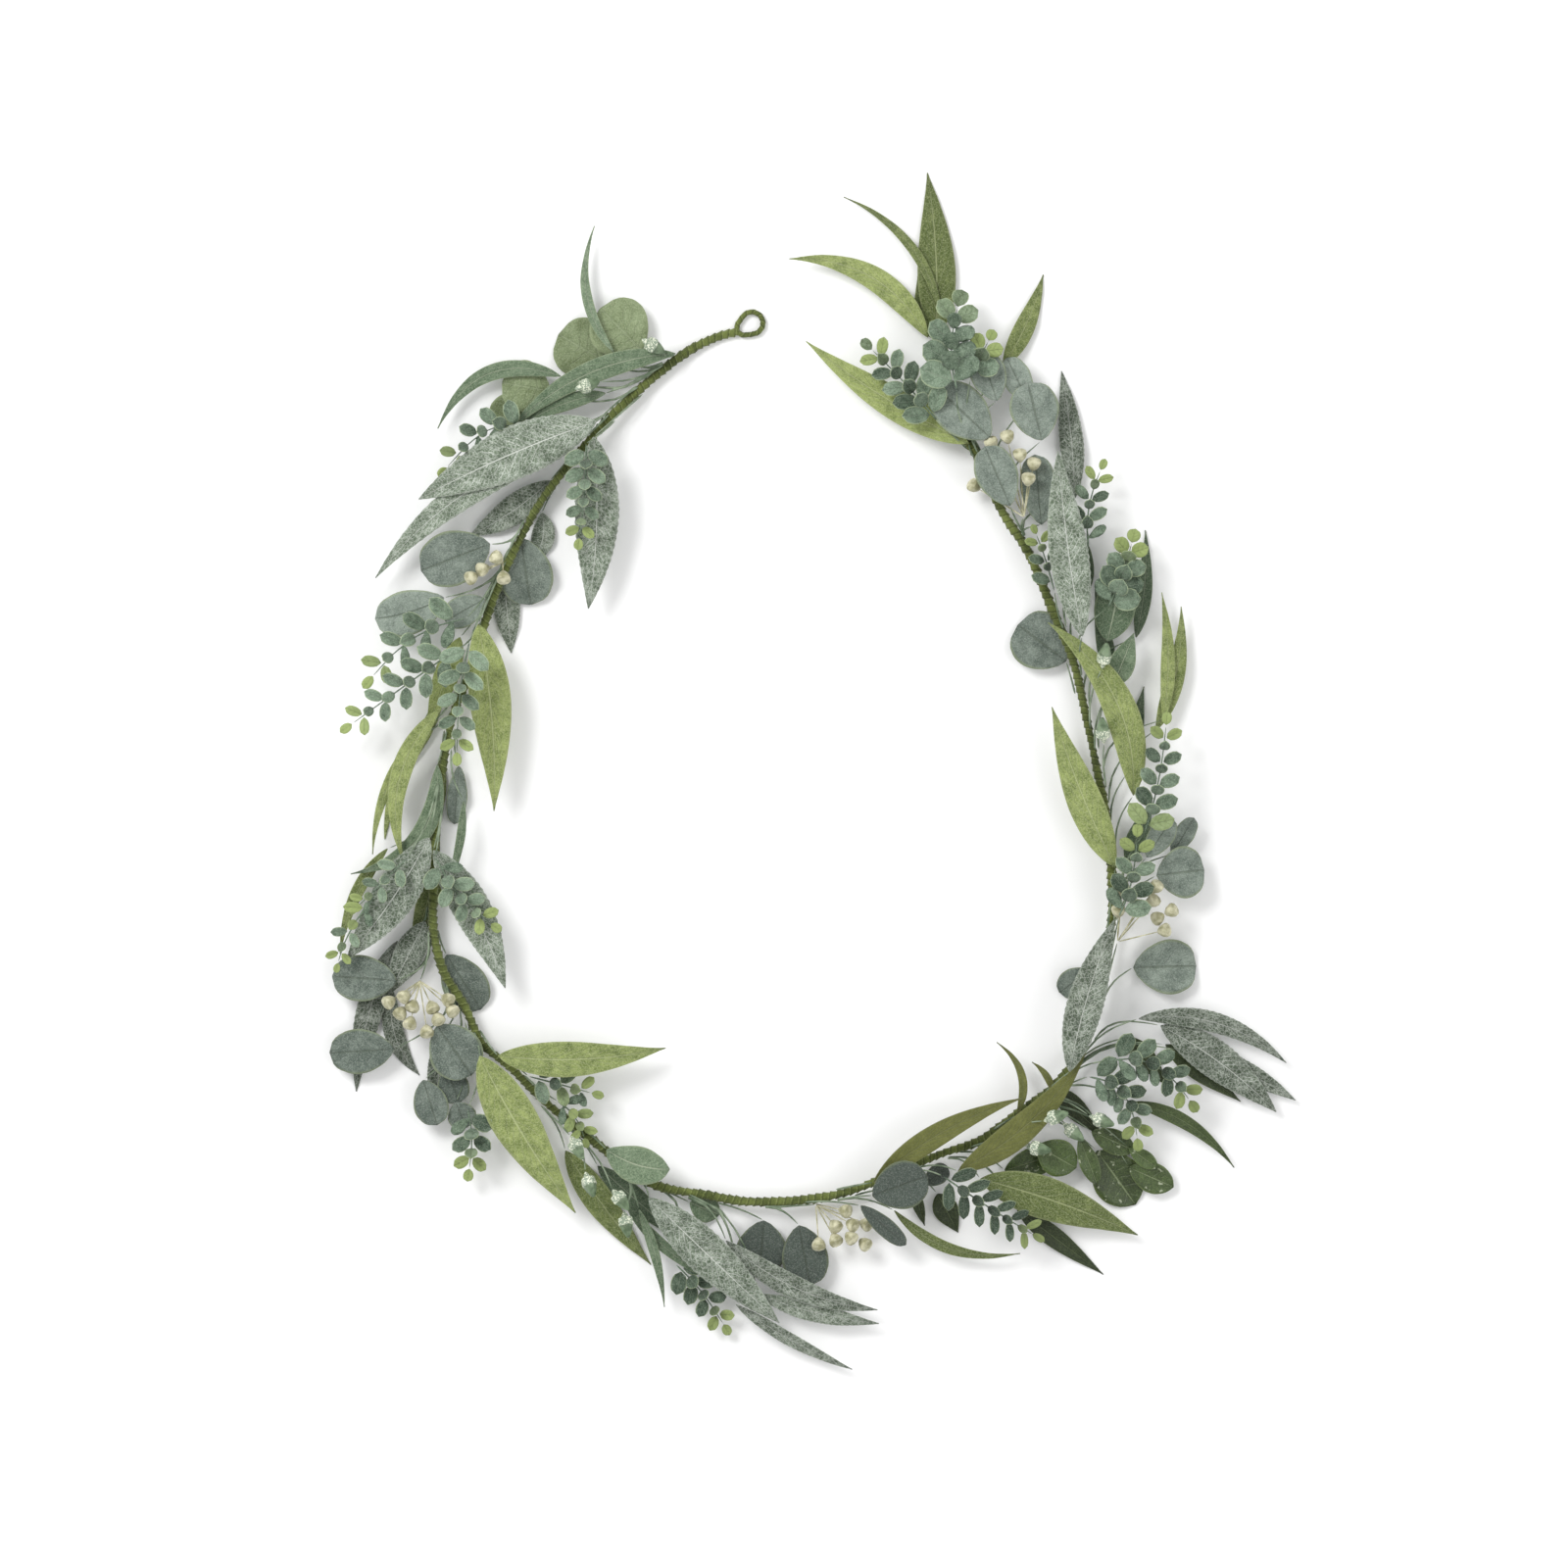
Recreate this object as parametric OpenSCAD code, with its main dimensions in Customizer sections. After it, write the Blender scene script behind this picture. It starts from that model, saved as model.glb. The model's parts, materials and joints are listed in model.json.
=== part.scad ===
// Greenery garland: artificial eucalyptus, willow and frosted leaves wired along one bendable
// stem, lying in an open loop with a hanging loop at one end.
// Millimetres. Z is up, the garland lies on the plane z = 0, +Y runs along its longer side.
// "Downstream" is away from the hanging loop: every sprig points that way.

/* [Stem] */
// Radius of the stem over its crepe tape
stem_r = 3.0; // [2.6:0.1:3.4]
// Radius of the steel core wire inside the tape
wire_r = 1.2; // [0.8:0.1:1.4]
// Bare length left between two stem pieces where the stem bends
bend_gap = 3.0; // [2:0.5:5]
// Radius of the taped wire in the hanging loop
loop_wire_r = 1.9; // [1.5:0.1:2.2]
// Width across the hole of the hanging loop
loop_hole = 12; // [10:1:14]

/* [Leaves] */
// Thickness of a leaf along its midrib
leaf_t = 0.9; // [0.7:0.1:1.2]
// How far the two halves of a leaf fold up, as rise per half width
leaf_fold = 0.07; // [0:0.01:0.12]
// Share of a layer's height that is left far from the stem
layer_end = 0.45; // [0.4:0.05:0.6]
// Distance from the stem at which the layers stop falling
layer_reach = 110; // [90:5:130]

/* [Sprigs] */
// Radius of a leaf stalk where it leaves the stem
stalk_r = 1.1; // [0.9:0.1:1.3]
// Radius of the stalk of a small eucalyptus sprig
sprig_r = 0.9; // [0.7:0.1:1.1]
// Width of a small eucalyptus leaf over its length, where its row gives no other
small_wide = 0.62; // [0.5:0.02:0.8]
// Width across a seed capsule
seed_d = 7.6; // [6.8:0.2:8]
// Length of a flower bud
bud_l = 17; // [14:1:19]

/* [Hidden] */
// ---- route of the stem: x, y and height of its centre line, from the hanging loop on ----
route = [
    [-54, 314, 3], [-69, 310, 3.2], [-89, 300, 5], [-114, 281, 8], [-144, 253, 12],
    [-171, 222, 14], [-193, 194, 14], [-207, 169, 14], [-222, 139, 14], [-234, 106, 14],
    [-246, 67, 14], [-257, 39, 14], [-264, 4, 14], [-269, -38, 14], [-271, -87, 14],
    [-271, -114, 14], [-264, -143, 14], [-249, -168, 14], [-236, -195, 14], [-216, -212, 14],
    [-192, -236, 14], [-165, -258, 14], [-133, -283, 14], [-110, -297, 14], [-78, -303, 12],
    [-47, -308, 12], [-7, -307, 12], [28, -300, 13], [61, -286, 14], [94, -273, 14],
    [120, -264, 14], [149, -243, 14], [175, -223, 14], [196, -192, 14], [203, -164, 14],
    [209, -136, 14], [214, -92, 14], [210, -38, 14], [203, -1, 14], [194, 43, 14],
    [186, 77, 14], [172, 112, 14], [154, 155, 14], [135, 185, 14], [117, 225, 14],
    [108, 236, 15]
];
// Places in the route where the stem bends
bend_loop_end = 2;
bend_left = 14;
bend_bottom = 24;
bend_upper_right = 42;
last = len(route) - 1;

function unit(v) = v / norm(v);
function at(i) = route[max(0, min(last, i))];
function smooth(a, b, c, d, t) = 0.5 * (2 * b + (c - a) * t
    + (2 * a - 5 * b + 4 * c - d) * t * t + (3 * b - a - 3 * c + d) * t * t * t);
// The smooth stem from point i0 to point i1, n steps to each span
function run(i0, i1, n) = [for (i = [i0:i1 - 1]) each [for (k = [0:n - 1])
    smooth(at(i - 1), at(i), at(i + 1), at(i + 2), k / n)], at(i1)];
line = run(0, last, 3);

// ---- distance from the stem, and the layers that leaves lie in ----
function to_span(p, a, b) = let(ab = [b[0] - a[0], b[1] - a[1]], ap = [p[0] - a[0], p[1] - a[1]],
    t = max(0, min(1, (ap * ab) / (ab * ab)))) norm(ap - t * ab);
function from_stem(p) = min([for (i = [0:last - 1]) to_span(p, route[i], route[i + 1])]);
function fall(d) = 1 - (1 - layer_end) * pow(min(d, layer_reach) / layer_reach, 1.5);
// Height at plan point p of the layer that is h high over the stem
function layer(h, p) = 0.5 + h * fall(from_stem(p));
// Index of the stem point nearest to plan point p
function nearest(p, i = 0, best = 0, d = 1e9) = i > len(line) - 1 ? best :
    let(e = norm([line[i][0] - p[0], line[i][1] - p[1]]))
    nearest(p, i + 1, e < d ? i : best, min(e, d));

// ---- leaf outlines: half width at share t of the length, over half the full width ----
function outline(kind, t) =
    kind == "willow" ? pow(max(0, sin(180 * pow(t, 0.72))), 0.9) :
    kind == "frosted" ? pow(max(0, sin(180 * pow(t, 0.82))), 0.8) :
    kind == "oval" ? pow(max(0, sin(180 * pow(t, 1.1))), 0.65) :
    sqrt(max(0, 1 - pow(2 * pow(t, 0.95) - 1, 2)));
function steps(kind) = kind == "willow" || kind == "frosted"
    ? [0, 0.1, 0.25, 0.42, 0.6, 0.77, 0.9]
    : [0, 0.1, 0.3, 0.54, 0.78, 0.94];

// Faces of a closed ring-built solid; apex closes the last ring to one point
function skin(rings, n, apex) = concat(
    [for (k = [1:n - 2]) [0, k + 1, k]],
    [for (i = [0:rings - 2], k = [0:n - 1]) let(a = i * n + k, b = i * n + (k + 1) % n)
        each [[a, b, b + n], [a, b + n, a + n]]],
    apex ? [for (k = [0:n - 1]) [(rings - 1) * n + k, (rings - 1) * n + (k + 1) % n, rings * n]]
        : [for (k = [1:n - 2]) [(rings - 1) * n, (rings - 1) * n + k, (rings - 1) * n + k + 1]]);

// One fabric leaf: row = base x, y, tip x, y, width, sideways bow, height step, roll
module leaf(row, h, kind) {
    b = [row[0], row[1]];
    e = [row[2], row[3]];
    along = e - b;
    left = unit([-along[1], along[0]]);
    bow = row[5];
    hh = h + (row[6] == undef ? 0 : row[6]);
    roll = row[7] == undef ? 0 : row[7];
    ts = steps(kind);
    // leaves of the lowest layers bend down until their tips rest on the plane below
    sink = hh < 10 ? 0.8 : 0;
    function height(p, t) = layer(hh, p) * (1 - sink * t * t);
    function mid(t) = b + along * t + left * bow * 4 * t * (1 - t);
    function across(t) = unit([along[1], -along[0]] + (-4 * bow * (1 - 2 * t)) * unit(along) * -1);
    rings = [for (t = ts) let(
        m = mid(t), s = across(t), w = max(1, row[4] / 2 * outline(kind, t)),
        r = m + s * w, l = m - s * w, z = height(m, t), tm = min(leaf_t / 2, z))
        each [[r[0], r[1], height(r, t) + w * (leaf_fold + roll)], [m[0], m[1], z + tm],
            [l[0], l[1], height(l, t) + w * (leaf_fold - roll)], [m[0], m[1], z - tm]]];
    polyhedron(concat(rings, [[e[0], e[1], height(e, 1)]]), skin(len(ts), 4, true));
}
module leaves(rows, h, kind) for (row = rows) leaf(row, h, kind);

// A tapering round stalk through the points p
module stalk(p, r0, r1, n) {
    last_i = len(p) - 1;
    rings = [for (i = [0:last_i]) let(t = unit(p[min(i + 1, last_i)] - p[max(i - 1, 0)]),
        s = unit(cross(t, [0, 0, 1])), u = cross(s, t), r = r0 + (r1 - r0) * i / last_i)
        each [for (k = [0:n - 1]) p[i] + r * (cos(360 * k / n) * s + sin(360 * k / n) * u)]];
    polyhedron(rings, skin(len(p), n, false));
}
function bent(a, c, b, n) = [for (k = [0:n]) let(t = k / n)
    (1 - t) * (1 - t) * a + 2 * t * (1 - t) * c + t * t * b];

// Stalk from the side of the stem to a leaf's base: it leaves the stem downstream, on the upper
// or lower side as its layer asks, and each next stalk starts at another place round the stem
module leaf_stalk(row, h, turn = 0) {
    b = [row[0], row[1]];
    hh = h + (row[6] == undef ? 0 : row[6]);
    end = [b[0], b[1], layer(hh, b)];
    i = min($stem_to, max($stem_from, nearest(b) - 2 - turn % 2));
    j = min(len(line) - 1, i + 1);
    t = unit(line[j] - line[max(0, j - 1)]);
    right = unit(cross(t, [0, 0, 1]));
    side = (end - line[i]) * right > 0 ? right : -right;
    up = end[2] > line[i][2] ? 1 : -1;
    round_stem = 10 + 70 * ((turn * 0.38) % 1);
    start = line[i] + (stem_r + stalk_r + 0.3) * (cos(round_stem) * side + up * sin(round_stem) * [0, 0, 1]);
    reach = norm(end - start);
    bend = start + t * reach * 0.5 + [0, 0, (end[2] - start[2]) * 0.4];
    stalk(bent(start, bend, end - 0.6 * unit(end - bend), 3), stalk_r, 0.6, 4);
}
module leaf_stalks(rows, h, turn = 0)
    for (i = [0:len(rows) - 1]) leaf_stalk(rows[i], h, turn + i);

// One small leaf from base b, along d, flat across s
module small_blade(b, d, s, l, w) {
    u = cross(s, d);
    rings = [for (q = [[0, 0.14], [0.38, 0.95], [0.78, 0.86]]) let(hw = w / 2 * q[1], m = b + d * l * q[0])
        each [m + s * hw + u * 0.12 * hw, m + u * 0.35, m - s * hw + u * 0.12 * hw, m - u * 0.35]];
    polyhedron(concat(rings, [b + d * l]), skin(3, 4, true));
}
// Small eucalyptus sprig: row = base x, y, middle x, y, end x, y, pairs of leaves, leaf size,
// height step, leaf width over length. Leaves stand in flat pairs with a rising leaf between,
// smaller towards the end.
function sprig_path(row, h, n) = let(hh = h + (row[8] == undef ? 0 : row[8]),
    p = bent([row[0], row[1]], [row[2], row[3]] * 2 - ([row[0], row[1]] + [row[4], row[5]]) / 2,
        [row[4], row[5]], n)) [for (q = p) [q[0], q[1], layer(hh, q)]];
module sprig(row, h) {
    pairs = row[6];
    wide = row[9] == undef ? small_wide : row[9];
    path = sprig_path(row, h, 2 * pairs);
    stalk([for (i = [0:2:2 * pairs]) path[i]], sprig_r, 0.5, 4);
    for (i = [0:pairs - 1]) {
        k = 2 * i + 1;
        t = unit(path[k + 1] - path[k - 1]);
        s = unit(cross(t, [0, 0, 1]));
        u = cross(s, t);
        size = row[7] * (1 - 0.45 * i / pairs);
        for (side = [-1, 1]) {
            d = cos(14) * (cos(58) * t + side * sin(58) * s) + sin(14) * u;
            small_blade(path[k] + side * s * (sprig_r + 0.5), d, unit(cross(d, u)), size, size * wide);
        }
        if (i < pairs - 1)
            small_blade((path[k] + path[k + 2]) / 2 + u * (sprig_r + 0.6), cos(55) * t + sin(55) * u, s,
                size * 0.85, size * 0.9 * wide);
    }
    end_t = unit(path[2 * pairs] - path[2 * pairs - 1]);
    small_blade(path[2 * pairs] + end_t * 0.3, end_t, unit(cross(end_t, [0, 0, 1])),
        row[7] * 0.5, row[7] * 0.6 * wide);
}
module sprigs(rows, h) for (row = rows) sprig(row, h);
// Stalks that join small sprigs to the stem
module sprig_stalks(rows, h, turn = 0)
    for (i = [0:len(rows) - 1])
        leaf_stalk([rows[i][0], rows[i][1], 0, 0, 0, 0, rows[i][8]], h, turn + i);

// Seed capsules on fine branches, which leave their common root one above the other
module seed_spray(root, rows, h) {
    foot = [root[0], root[1], layer(root[2], root)];
    for (i = [0:len(rows) - 1]) {
        row = rows[i];
        hh = h + (row[2] == undef ? 0 : row[2]);
        top = [row[0], row[1], layer(hh, row)];
        start = foot + [0, 0, 1.7 * (i - (len(rows) - 1) / 2)];
        out = unit([top[0] - start[0], top[1] - start[1]]);
        neck = top - (0.5 * seed_d + 0.4) * [out[0] * sin(55), out[1] * sin(55), cos(55)];
        stalk(bent(start, (start + neck) / 2 + [0, 0, 1], neck, 3), 0.75, 0.5, 4);
        translate(top) rotate([0, 55, atan2(out[1], out[0])]) seed();
    }
}
module seed() rotate_extrude($fn = 20) polygon([[0, -seed_d * 0.5], [seed_d * 0.16, -seed_d * 0.46],
    [seed_d * 0.38, -seed_d * 0.1], [seed_d * 0.5, seed_d * 0.22], [seed_d * 0.36, seed_d * 0.34],
    [seed_d * 0.12, seed_d * 0.3], [0, seed_d * 0.42]]);

// Flower buds: row = x, y, heading in degrees
module buds(rows, h) for (row = rows)
    translate([row[0], row[1], layer(h + (row[3] == undef ? 0 : row[3]), row)])
        rotate([0, 70, row[2]]) bud();
module bud() rotate_extrude($fn = 20) polygon([[0, -bud_l * 0.5], [bud_l * 0.1, -bud_l * 0.47],
    [bud_l * 0.2, -bud_l * 0.28], [bud_l * 0.27, 0], [bud_l * 0.24, bud_l * 0.2],
    [bud_l * 0.14, bud_l * 0.4], [0, bud_l * 0.5]]);
module bud_stalks(rows, h, turn = 0) for (i = [0:len(rows) - 1]) let(row = rows[i])
    leaf_stalk([row[0] - cos(row[2]) * bud_l * 0.52, row[1] - sin(row[2]) * bud_l * 0.52,
        0, 0, 0, 0, (row[3] == undef ? 0 : row[3]) - 3], h, turn + i);

// ---- planting lists, layer by layer (height over the stem first) ----
// Upper left
h_mottled = 3;
mottled = [[-122, 300, -152, 330, 43, 0, 9], [-146, 291, -182, 312, 42, 0, 1.5],
    [-188, 271, -222, 277, 36, 0, 9], [-200, 262, -230, 250, 28, 0]];
h_mint_ul = 20;
mint_ul = [[-142, 298, -156, 389, 7, 13, 0, 0.3], [-180, 281, -268, 244, 12, -22, 0, 0.1],
    [-98, 297, -220, 239, 16, -14], [-148, 269, -212, 244, 11, -4, -3]];
h_frost_ul = 32;
frost_ul = [[-154, 248, -281, 193, 35, -3], [-168, 232, -312, 137, 20, -15, -3],
    [-156, 237, -160, 115, 29, 4], [-188, 207, -246, 168, 20, 3, -24],
    [-194, 184, -203, 148, 16, 5, -28], [-222, 146, -216, 84, 18, 0, -29]];
h_bud_ul = 28;
bud_ul = [[-114, 302, 150], [-161, 274, 200]];
h_small_ul = 40;
small_ul = [[-161, 232, -162, 200, -166, 165, 5, 17, 0, 0.7],
    [-206, 243, -232, 243, -261, 216, 4, 18, -14, 0.7]];
// Left
h_dollar_l = 26;
dollar_l = [[-230, 161, -279, 142, 38, 0], [-263, 123, -312, 108, 31, 3],
    [-234, 122, -262, 106, 22, 0, -4], [-209, 166, -202, 119, 37, 0, -17],
    [-253, 3, -257, -38, 14, 0, -18, 0.3]];
h_seed_l = 32;
seed_root_l = [-221, 148, 24];
seed_l = [[-225, 151], [-235, 143], [-243, 137], [-220, 137, 1]];
h_willow_l = 32;
willow_l = [[-238, 104, -227, -29, 28, 4], [-266, 43, -291, -67, 14, -17, -6],
    [-273, 32, -314, -60, 8, -10, -9, 0.2], [-304, -56, -338, -131, 9, -7, -20],
    [-252, 95, -276, 28, 17, 0, -20], [-264, 60, -298, -8, 13, 3, -27], [-286, 24, -307, -54, 11, -4, -30],
    [-266, 9, -283, -66, 12, 3, -31], [-267, -66, -288, -134, 15, 0, -24]];
h_mint_l = 20;
mint_l = [[-268, 4, -330, -74, 14, 22, -2], [-249, -22, -262, -88, 6, 3, 3, 0.2]];
h_frost_l = 32;
frost_l = [[-273, -48, -332, -134, 29, 3], [-270, -57, -219, -155, 25, 5]];
h_small_l = 39;
small_l = [[-246, 108, -283, 95, -313, 67, 4, 22], [-256, 84, -290, 60, -328, 33, 5, 20],
    [-243, 92, -250, 53, -252, 13, 5, 20, 14], [-268, -62, -252, -88, -229, -109, 4, 18, 0, 0.7],
    [-288, -62, -308, -82, -324, -97, 3, 14], [-312, -90, -330, -115, -338, -137, 3, 14]];
// Lower left
h_frost_ll = 5;
frost_ll = [[-277, -108, -303, -160, 20, 0, 8], [-297, -122, -327, -230, 18, -6, 3],
    [-301, -157, -282, -218, 14, -8, -1], [-263, -186, -272, -246, 16, 0, 0]];
h_dollar_ll = 20;
dollar_ll = [[-297, -150, -343, -147, 32, 0], [-299, -199, -345, -202, 31, 0],
    [-268, -182, -243, -217, 37, 0, 2], [-278, -221, -268, -253, 24, 0],
    [-262, -213, -252, -237, 22, 0, -6], [-255, -237, -247, -255, 20, 0, -3],
    [-262, -132, -238, -171, 31, 0, -13]];
h_seed_ll = 28;
seed_root_ll = [-280, -150, 22];
seed_ll = [[-302, -165], [-291, -161, 2], [-285, -168], [-294, -173, -1], [-287, -180],
    [-271, -169], [-260, -163, 1], [-257, -171, -1], [-267, -177], [-275, -186]];
h_small_ll = 26;
small_ll = [[-246, -241, -243, -262, -245, -284, 3, 18, 0, 0.75]];
h_willow_bl = 32;
willow_bl = [[-224, -203, -105, -198, 24, -5], [-237, -203, -169, -315, 32, -3],
    [-177, -272, -116, -354, 20, -2, -25]];
h_round_bl = 26;
round_bl = [[-147, -270, -102, -284, 27, -4], [-88, -309, -67, -318, 19, 0, -19]];
h_bud_bl = 36;
bud_bl = [[-168, -268, 300, -2], [-159, -294, 290], [-137, -305, 310], [-133, -323, 280, -6]];
h_small_bl = 22;
small_bl = [[-203, -218, -180, -224, -158, -230, 3, 18],
    [-182, -236, -170, -246, -163, -262, 3, 15, -2],
    [-98, -353, -80, -372, -64, -396, 4, 17, -8, 0.75]];
h_mint_bl = 20;
mint_bl = [[-124, -313, -106, -383, 7, 3, 4], [-133, -311, -66, -367, 8, -5, -1],
    [-154, -283, -92, -338, 16, 0, -13]];
h_frost_bl = 31;
frost_bl = [[-117, -304, -24, -394, 28, 0], [-62, -335, 46, -385, 16, -10, -5],
    [-39, -374, 47, -395, 13, -3, -8], [-55, -381, 28, -428, 9, -3, -6]];
// Bottom
h_dollar_b = 7;
dollar_b = [[-35, -322, -38, -358, 35, 0], [-10, -325, -2, -368, 32, 0, 6],
    [34, -310, 66, -338, 13, 0, 19], [42, -302, 81, -288, 33, 0, 31], [80, -296, 96, -284, 14, 0, 0]];
h_seed_b = 20;
seed_root_b = [2, -310, 14];
seed_b = [[23, -314, 2], [16, -325], [28, -324, 2], [16, -335], [27, -333, 6], [37, -338, -1],
    [38, -324, -6], [4, -338]];
// Bottom right
h_willow_br = 32;
willow_br = [[43, -293, 149, -233, 16, 7], [103, -285, 194, -201, 20, -9],
    [119, -291, 232, -332, 29, 3, -6], [58, -314, 148, -345, 8, -13, -12],
    [145, -246, 131, -194, 6, -11, -10], [171, -230, 156, -208, 5, -3, -10]];
h_dark_br = 8;
dark_br = [[146, -314, 208, -361, 14, 0], [226, -237, 301, -284, 10, 9, 12], [72, -300, 80, -326, 8, 0],
    [172, -227, 208, -262, 15, 0, -4], [226, -191, 254, -226, 14, 0, -4],
    [89, -303, 104, -331, 17, 0, -3], [252, -196, 306, -237, 15, 0, 2]];
h_glossy_br = 8;
glossy_br = [[137, -286, 177, -274, 21, 0], [160, -268, 188, -284, 27, 0, 8],
    [190, -262, 203, -296, 14, 0, 12], [203, -272, 231, -311, 36, 0], [199, -258, 230, -272, 18, 0, 4],
    [226, -270, 246, -284, 12, 0, 8], [226, -284, 258, -298, 22, 0, 6]];
h_bud_br = 30;
bud_br = [[160, -269, 350], [185, -257, 320], [205, -249, 340, 3], [172, -246, 20, 12]];
h_small_br = 40;
small_br = [[92, -288, 124, -310, 156, -330, 6, 20, 0, 0.5]];
h_frost_br = 26;
frost_br = [[232, -177, 338, -209, 14, 13], [248, -182, 331, -244, 25, 4, -3],
    [262, -200, 345, -236, 16, 4, -9], [182, -214, 214, -106, 24, 3, 12]];
h_small_lr = 36;
small_lr = [[210, -206, 242, -209, 268, -235, 5, 20, 6, 0.7],
    [196, -218, 221, -230, 231, -262, 5, 19, -8, 0.7]];
// Right
h_dollar_r = 20;
dollar_r = [[229, -141, 274, -140, 38, 0, -12], [245, -75, 279, -71, 36, 0],
    [238, -62, 256, -34, 18, 0], [256, -60, 272, -34, 14, 0, -4], [198, -143, 177, -159, 20, 0, -12],
    [181, 78, 147, 104, 41, 0, -13]];
h_seed_r = 30;
seed_root_r = [217, -122, 22];
seed_r = [[244, -83, 1], [220, -85], [242, -93, -1], [217, -100, 1], [255, -100], [246, -105, -4],
    [250, -114], [232, -97, -1]];
h_small_r = 38;
small_r = [[217, -104, 226, -80, 230, -48, 4, 20, 0, 0.7], [235, -45, 245, -10, 251, 32, 5, 19, 0, 0.7]];
h_willow_r = 28;
willow_r = [[228, -18, 167, 105, 23, -19], [215, -69, 170, 45, 24, 3],
    [250, 36, 249, 127, 10, -4, -9], [245, 29, 263, 117, 13, -6, -13]];
h_bud_r = 34;
bud_r = [[207, 81, 80], [206, 28, 95]];
h_mixed_r = 8;
mixed_r = [[210, 92, 224, 155, 28, 0, 12], [231, 95, 238, 172, 11, -3], [214, 60, 202, 130, 12, 0],
    [224, -3, 237, 60, 12, 0], [214, 60, 229, 98, 18, 0, 12],
    [198, 130, 184, 187, 14, 0, -4], [224, -66, 243, -22, 14, 0]];
h_frost_ur = 38;
frost_ur = [[191, 95, 174, 227, 26, 2]];
h_small_ur = 28;
small_ur = [[172, 127, 166, 149, 159, 168, 3, 15, -4], [196, 158, 196, 186, 205, 214, 4, 17],
    [210, 116, 219, 136, 227, 162, 4, 20, 4, 0.9]];
// Top end
h_dollar_t = 26;
dollar_t = [[140, 188, 122, 230, 29, 0, 6], [163, 175, 158, 225, 25, 0, -6],
    [126, 237, 88, 272, 35, 0], [131, 263, 119, 298, 25, 0, 3], [154, 262, 138, 294, 20, 0, -3],
    [163, 235, 153, 276, 34, 0]];
h_seed_t = 30;
seed_root_t = [150, 180, 26];
seed_t = [[138, 237, 4], [127, 233, -6], [147, 224, 2], [157, 218], [153, 207, 3], [115, 203, -14]];
h_frost_t = 8;
frost_t = [[187, 194, 178, 286, 16, -2]];
h_willow_t = 8;
willow_t = [[88, 309, 82, 428, 26, -3], [91, 328, 22, 410, 7, -14, 6], [82, 309, -17, 365, 17, -18, 12],
    [111, 233, -5, 306, 22, 4, 12], [136, 289, 165, 355, 14, -3], [86, 309, 75, 354, 16, 0, -4],
    [112, 250, 70, 268, 14, 0, -4]];
h_small_t = 36;
small_t = [[102, 270, 98, 298, 103, 330, 4, 25, 6, 0.9], [112, 279, 118, 292, 125, 306, 2, 17, -3, 0.9],
    [88, 249, 67, 274, 42, 300, 5, 21, -6, 0.68]];

// ---- stem pieces ----
// Route between two bends, shortened at the bends so that the pieces can turn
function piece(i0, i1, n) = let(p = run(i0, i1, n), m = len(p) - 1, g = bend_gap / 2)
    [for (i = [0:m]) i == 0 && i0 > 0 ? p[0] + g * unit(p[1] - p[0]) :
        i == m && i1 < last ? p[m] + g * unit(p[m - 1] - p[m]) : p[i]];
// Crepe tape as a tube round the wire
module tape(i0, i1) {
    p = piece(i0, i1, 2);
    n = 8;
    m = len(p);
    bore = wire_r + 0.15;
    rings = [for (r = [stem_r, bore], i = [0:m - 1]) let(
        t = unit(p[min(i + 1, m - 1)] - p[max(i - 1, 0)]), s = unit(cross(t, [0, 0, 1])), u = cross(s, t))
        each [for (k = [0:n - 1]) p[i] + r * (cos(360 * k / n) * s + sin(360 * k / n) * u)]];
    inner = m * n;
    faces = concat(
        [for (i = [0:m - 2], k = [0:n - 1]) let(a = i * n + k, b = i * n + (k + 1) % n)
            each [[a, b, b + n], [a, b + n, a + n],
                [inner + b, inner + a, inner + b + n], [inner + a, inner + a + n, inner + b + n]]],
        [for (k = [0:n - 1]) let(q = (k + 1) % n, e = (m - 1) * n)
            each [[q, k, inner + k], [q, inner + k, inner + q],
                [e + k, e + q, inner + e + q], [e + k, inner + e + q, inner + e + k]]]);
    polyhedron(rings, faces);
}
module wire(i0, i1) stalk(piece(i0, i1, 2), wire_r, wire_r, 6);
// Teardrop eye that the wire is bent into, its point at the start of the stem
module eye() {
    n = 8;
    m = 28;
    r = loop_hole / 2 + loop_wire_r;
    c = [route[0][0], route[0][1]] + 12 * unit([10, 6]);
    toward = atan2(-6, -10);
    p = [for (i = [0:m - 1]) let(a = 360 * i / m, q = r * (1 + 0.5 * pow(max(0, cos(a - toward)), 5)))
        [c[0] + q * cos(a), c[1] + q * sin(a), route[0][2]]];
    rings = [for (i = [0:m - 1]) let(t = unit(p[(i + 1) % m] - p[(i + m - 1) % m]),
        s = unit(cross(t, [0, 0, 1])), u = cross(s, t))
        each [for (k = [0:n - 1]) p[i] + loop_wire_r * (cos(360 * k / n) * s + sin(360 * k / n) * u)]];
    polyhedron(rings, [for (i = [0:m - 1], k = [0:n - 1])
        let(j = (i + 1) % m, a = i * n + k, b = i * n + (k + 1) % n, c2 = j * n + (k + 1) % n, d = j * n + k)
        each [[a, b, c2], [a, c2, d]]]);
}

// Colours of the finishes
c_tape = "#66743a";
c_wire = "#8a7a6a";
c_willow = "#7c9852";
c_mint = "#8fb093";
c_mottled = "#86a06f";
c_frosted = "#a3b2a6";
c_dollar = "#7b938e";
c_small = "#84a597";
c_seed = "#cfcda9";
c_bud = "#b3bfae";
c_twig = "#8d9377";
c_dark = "#4f6b4c";

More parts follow.
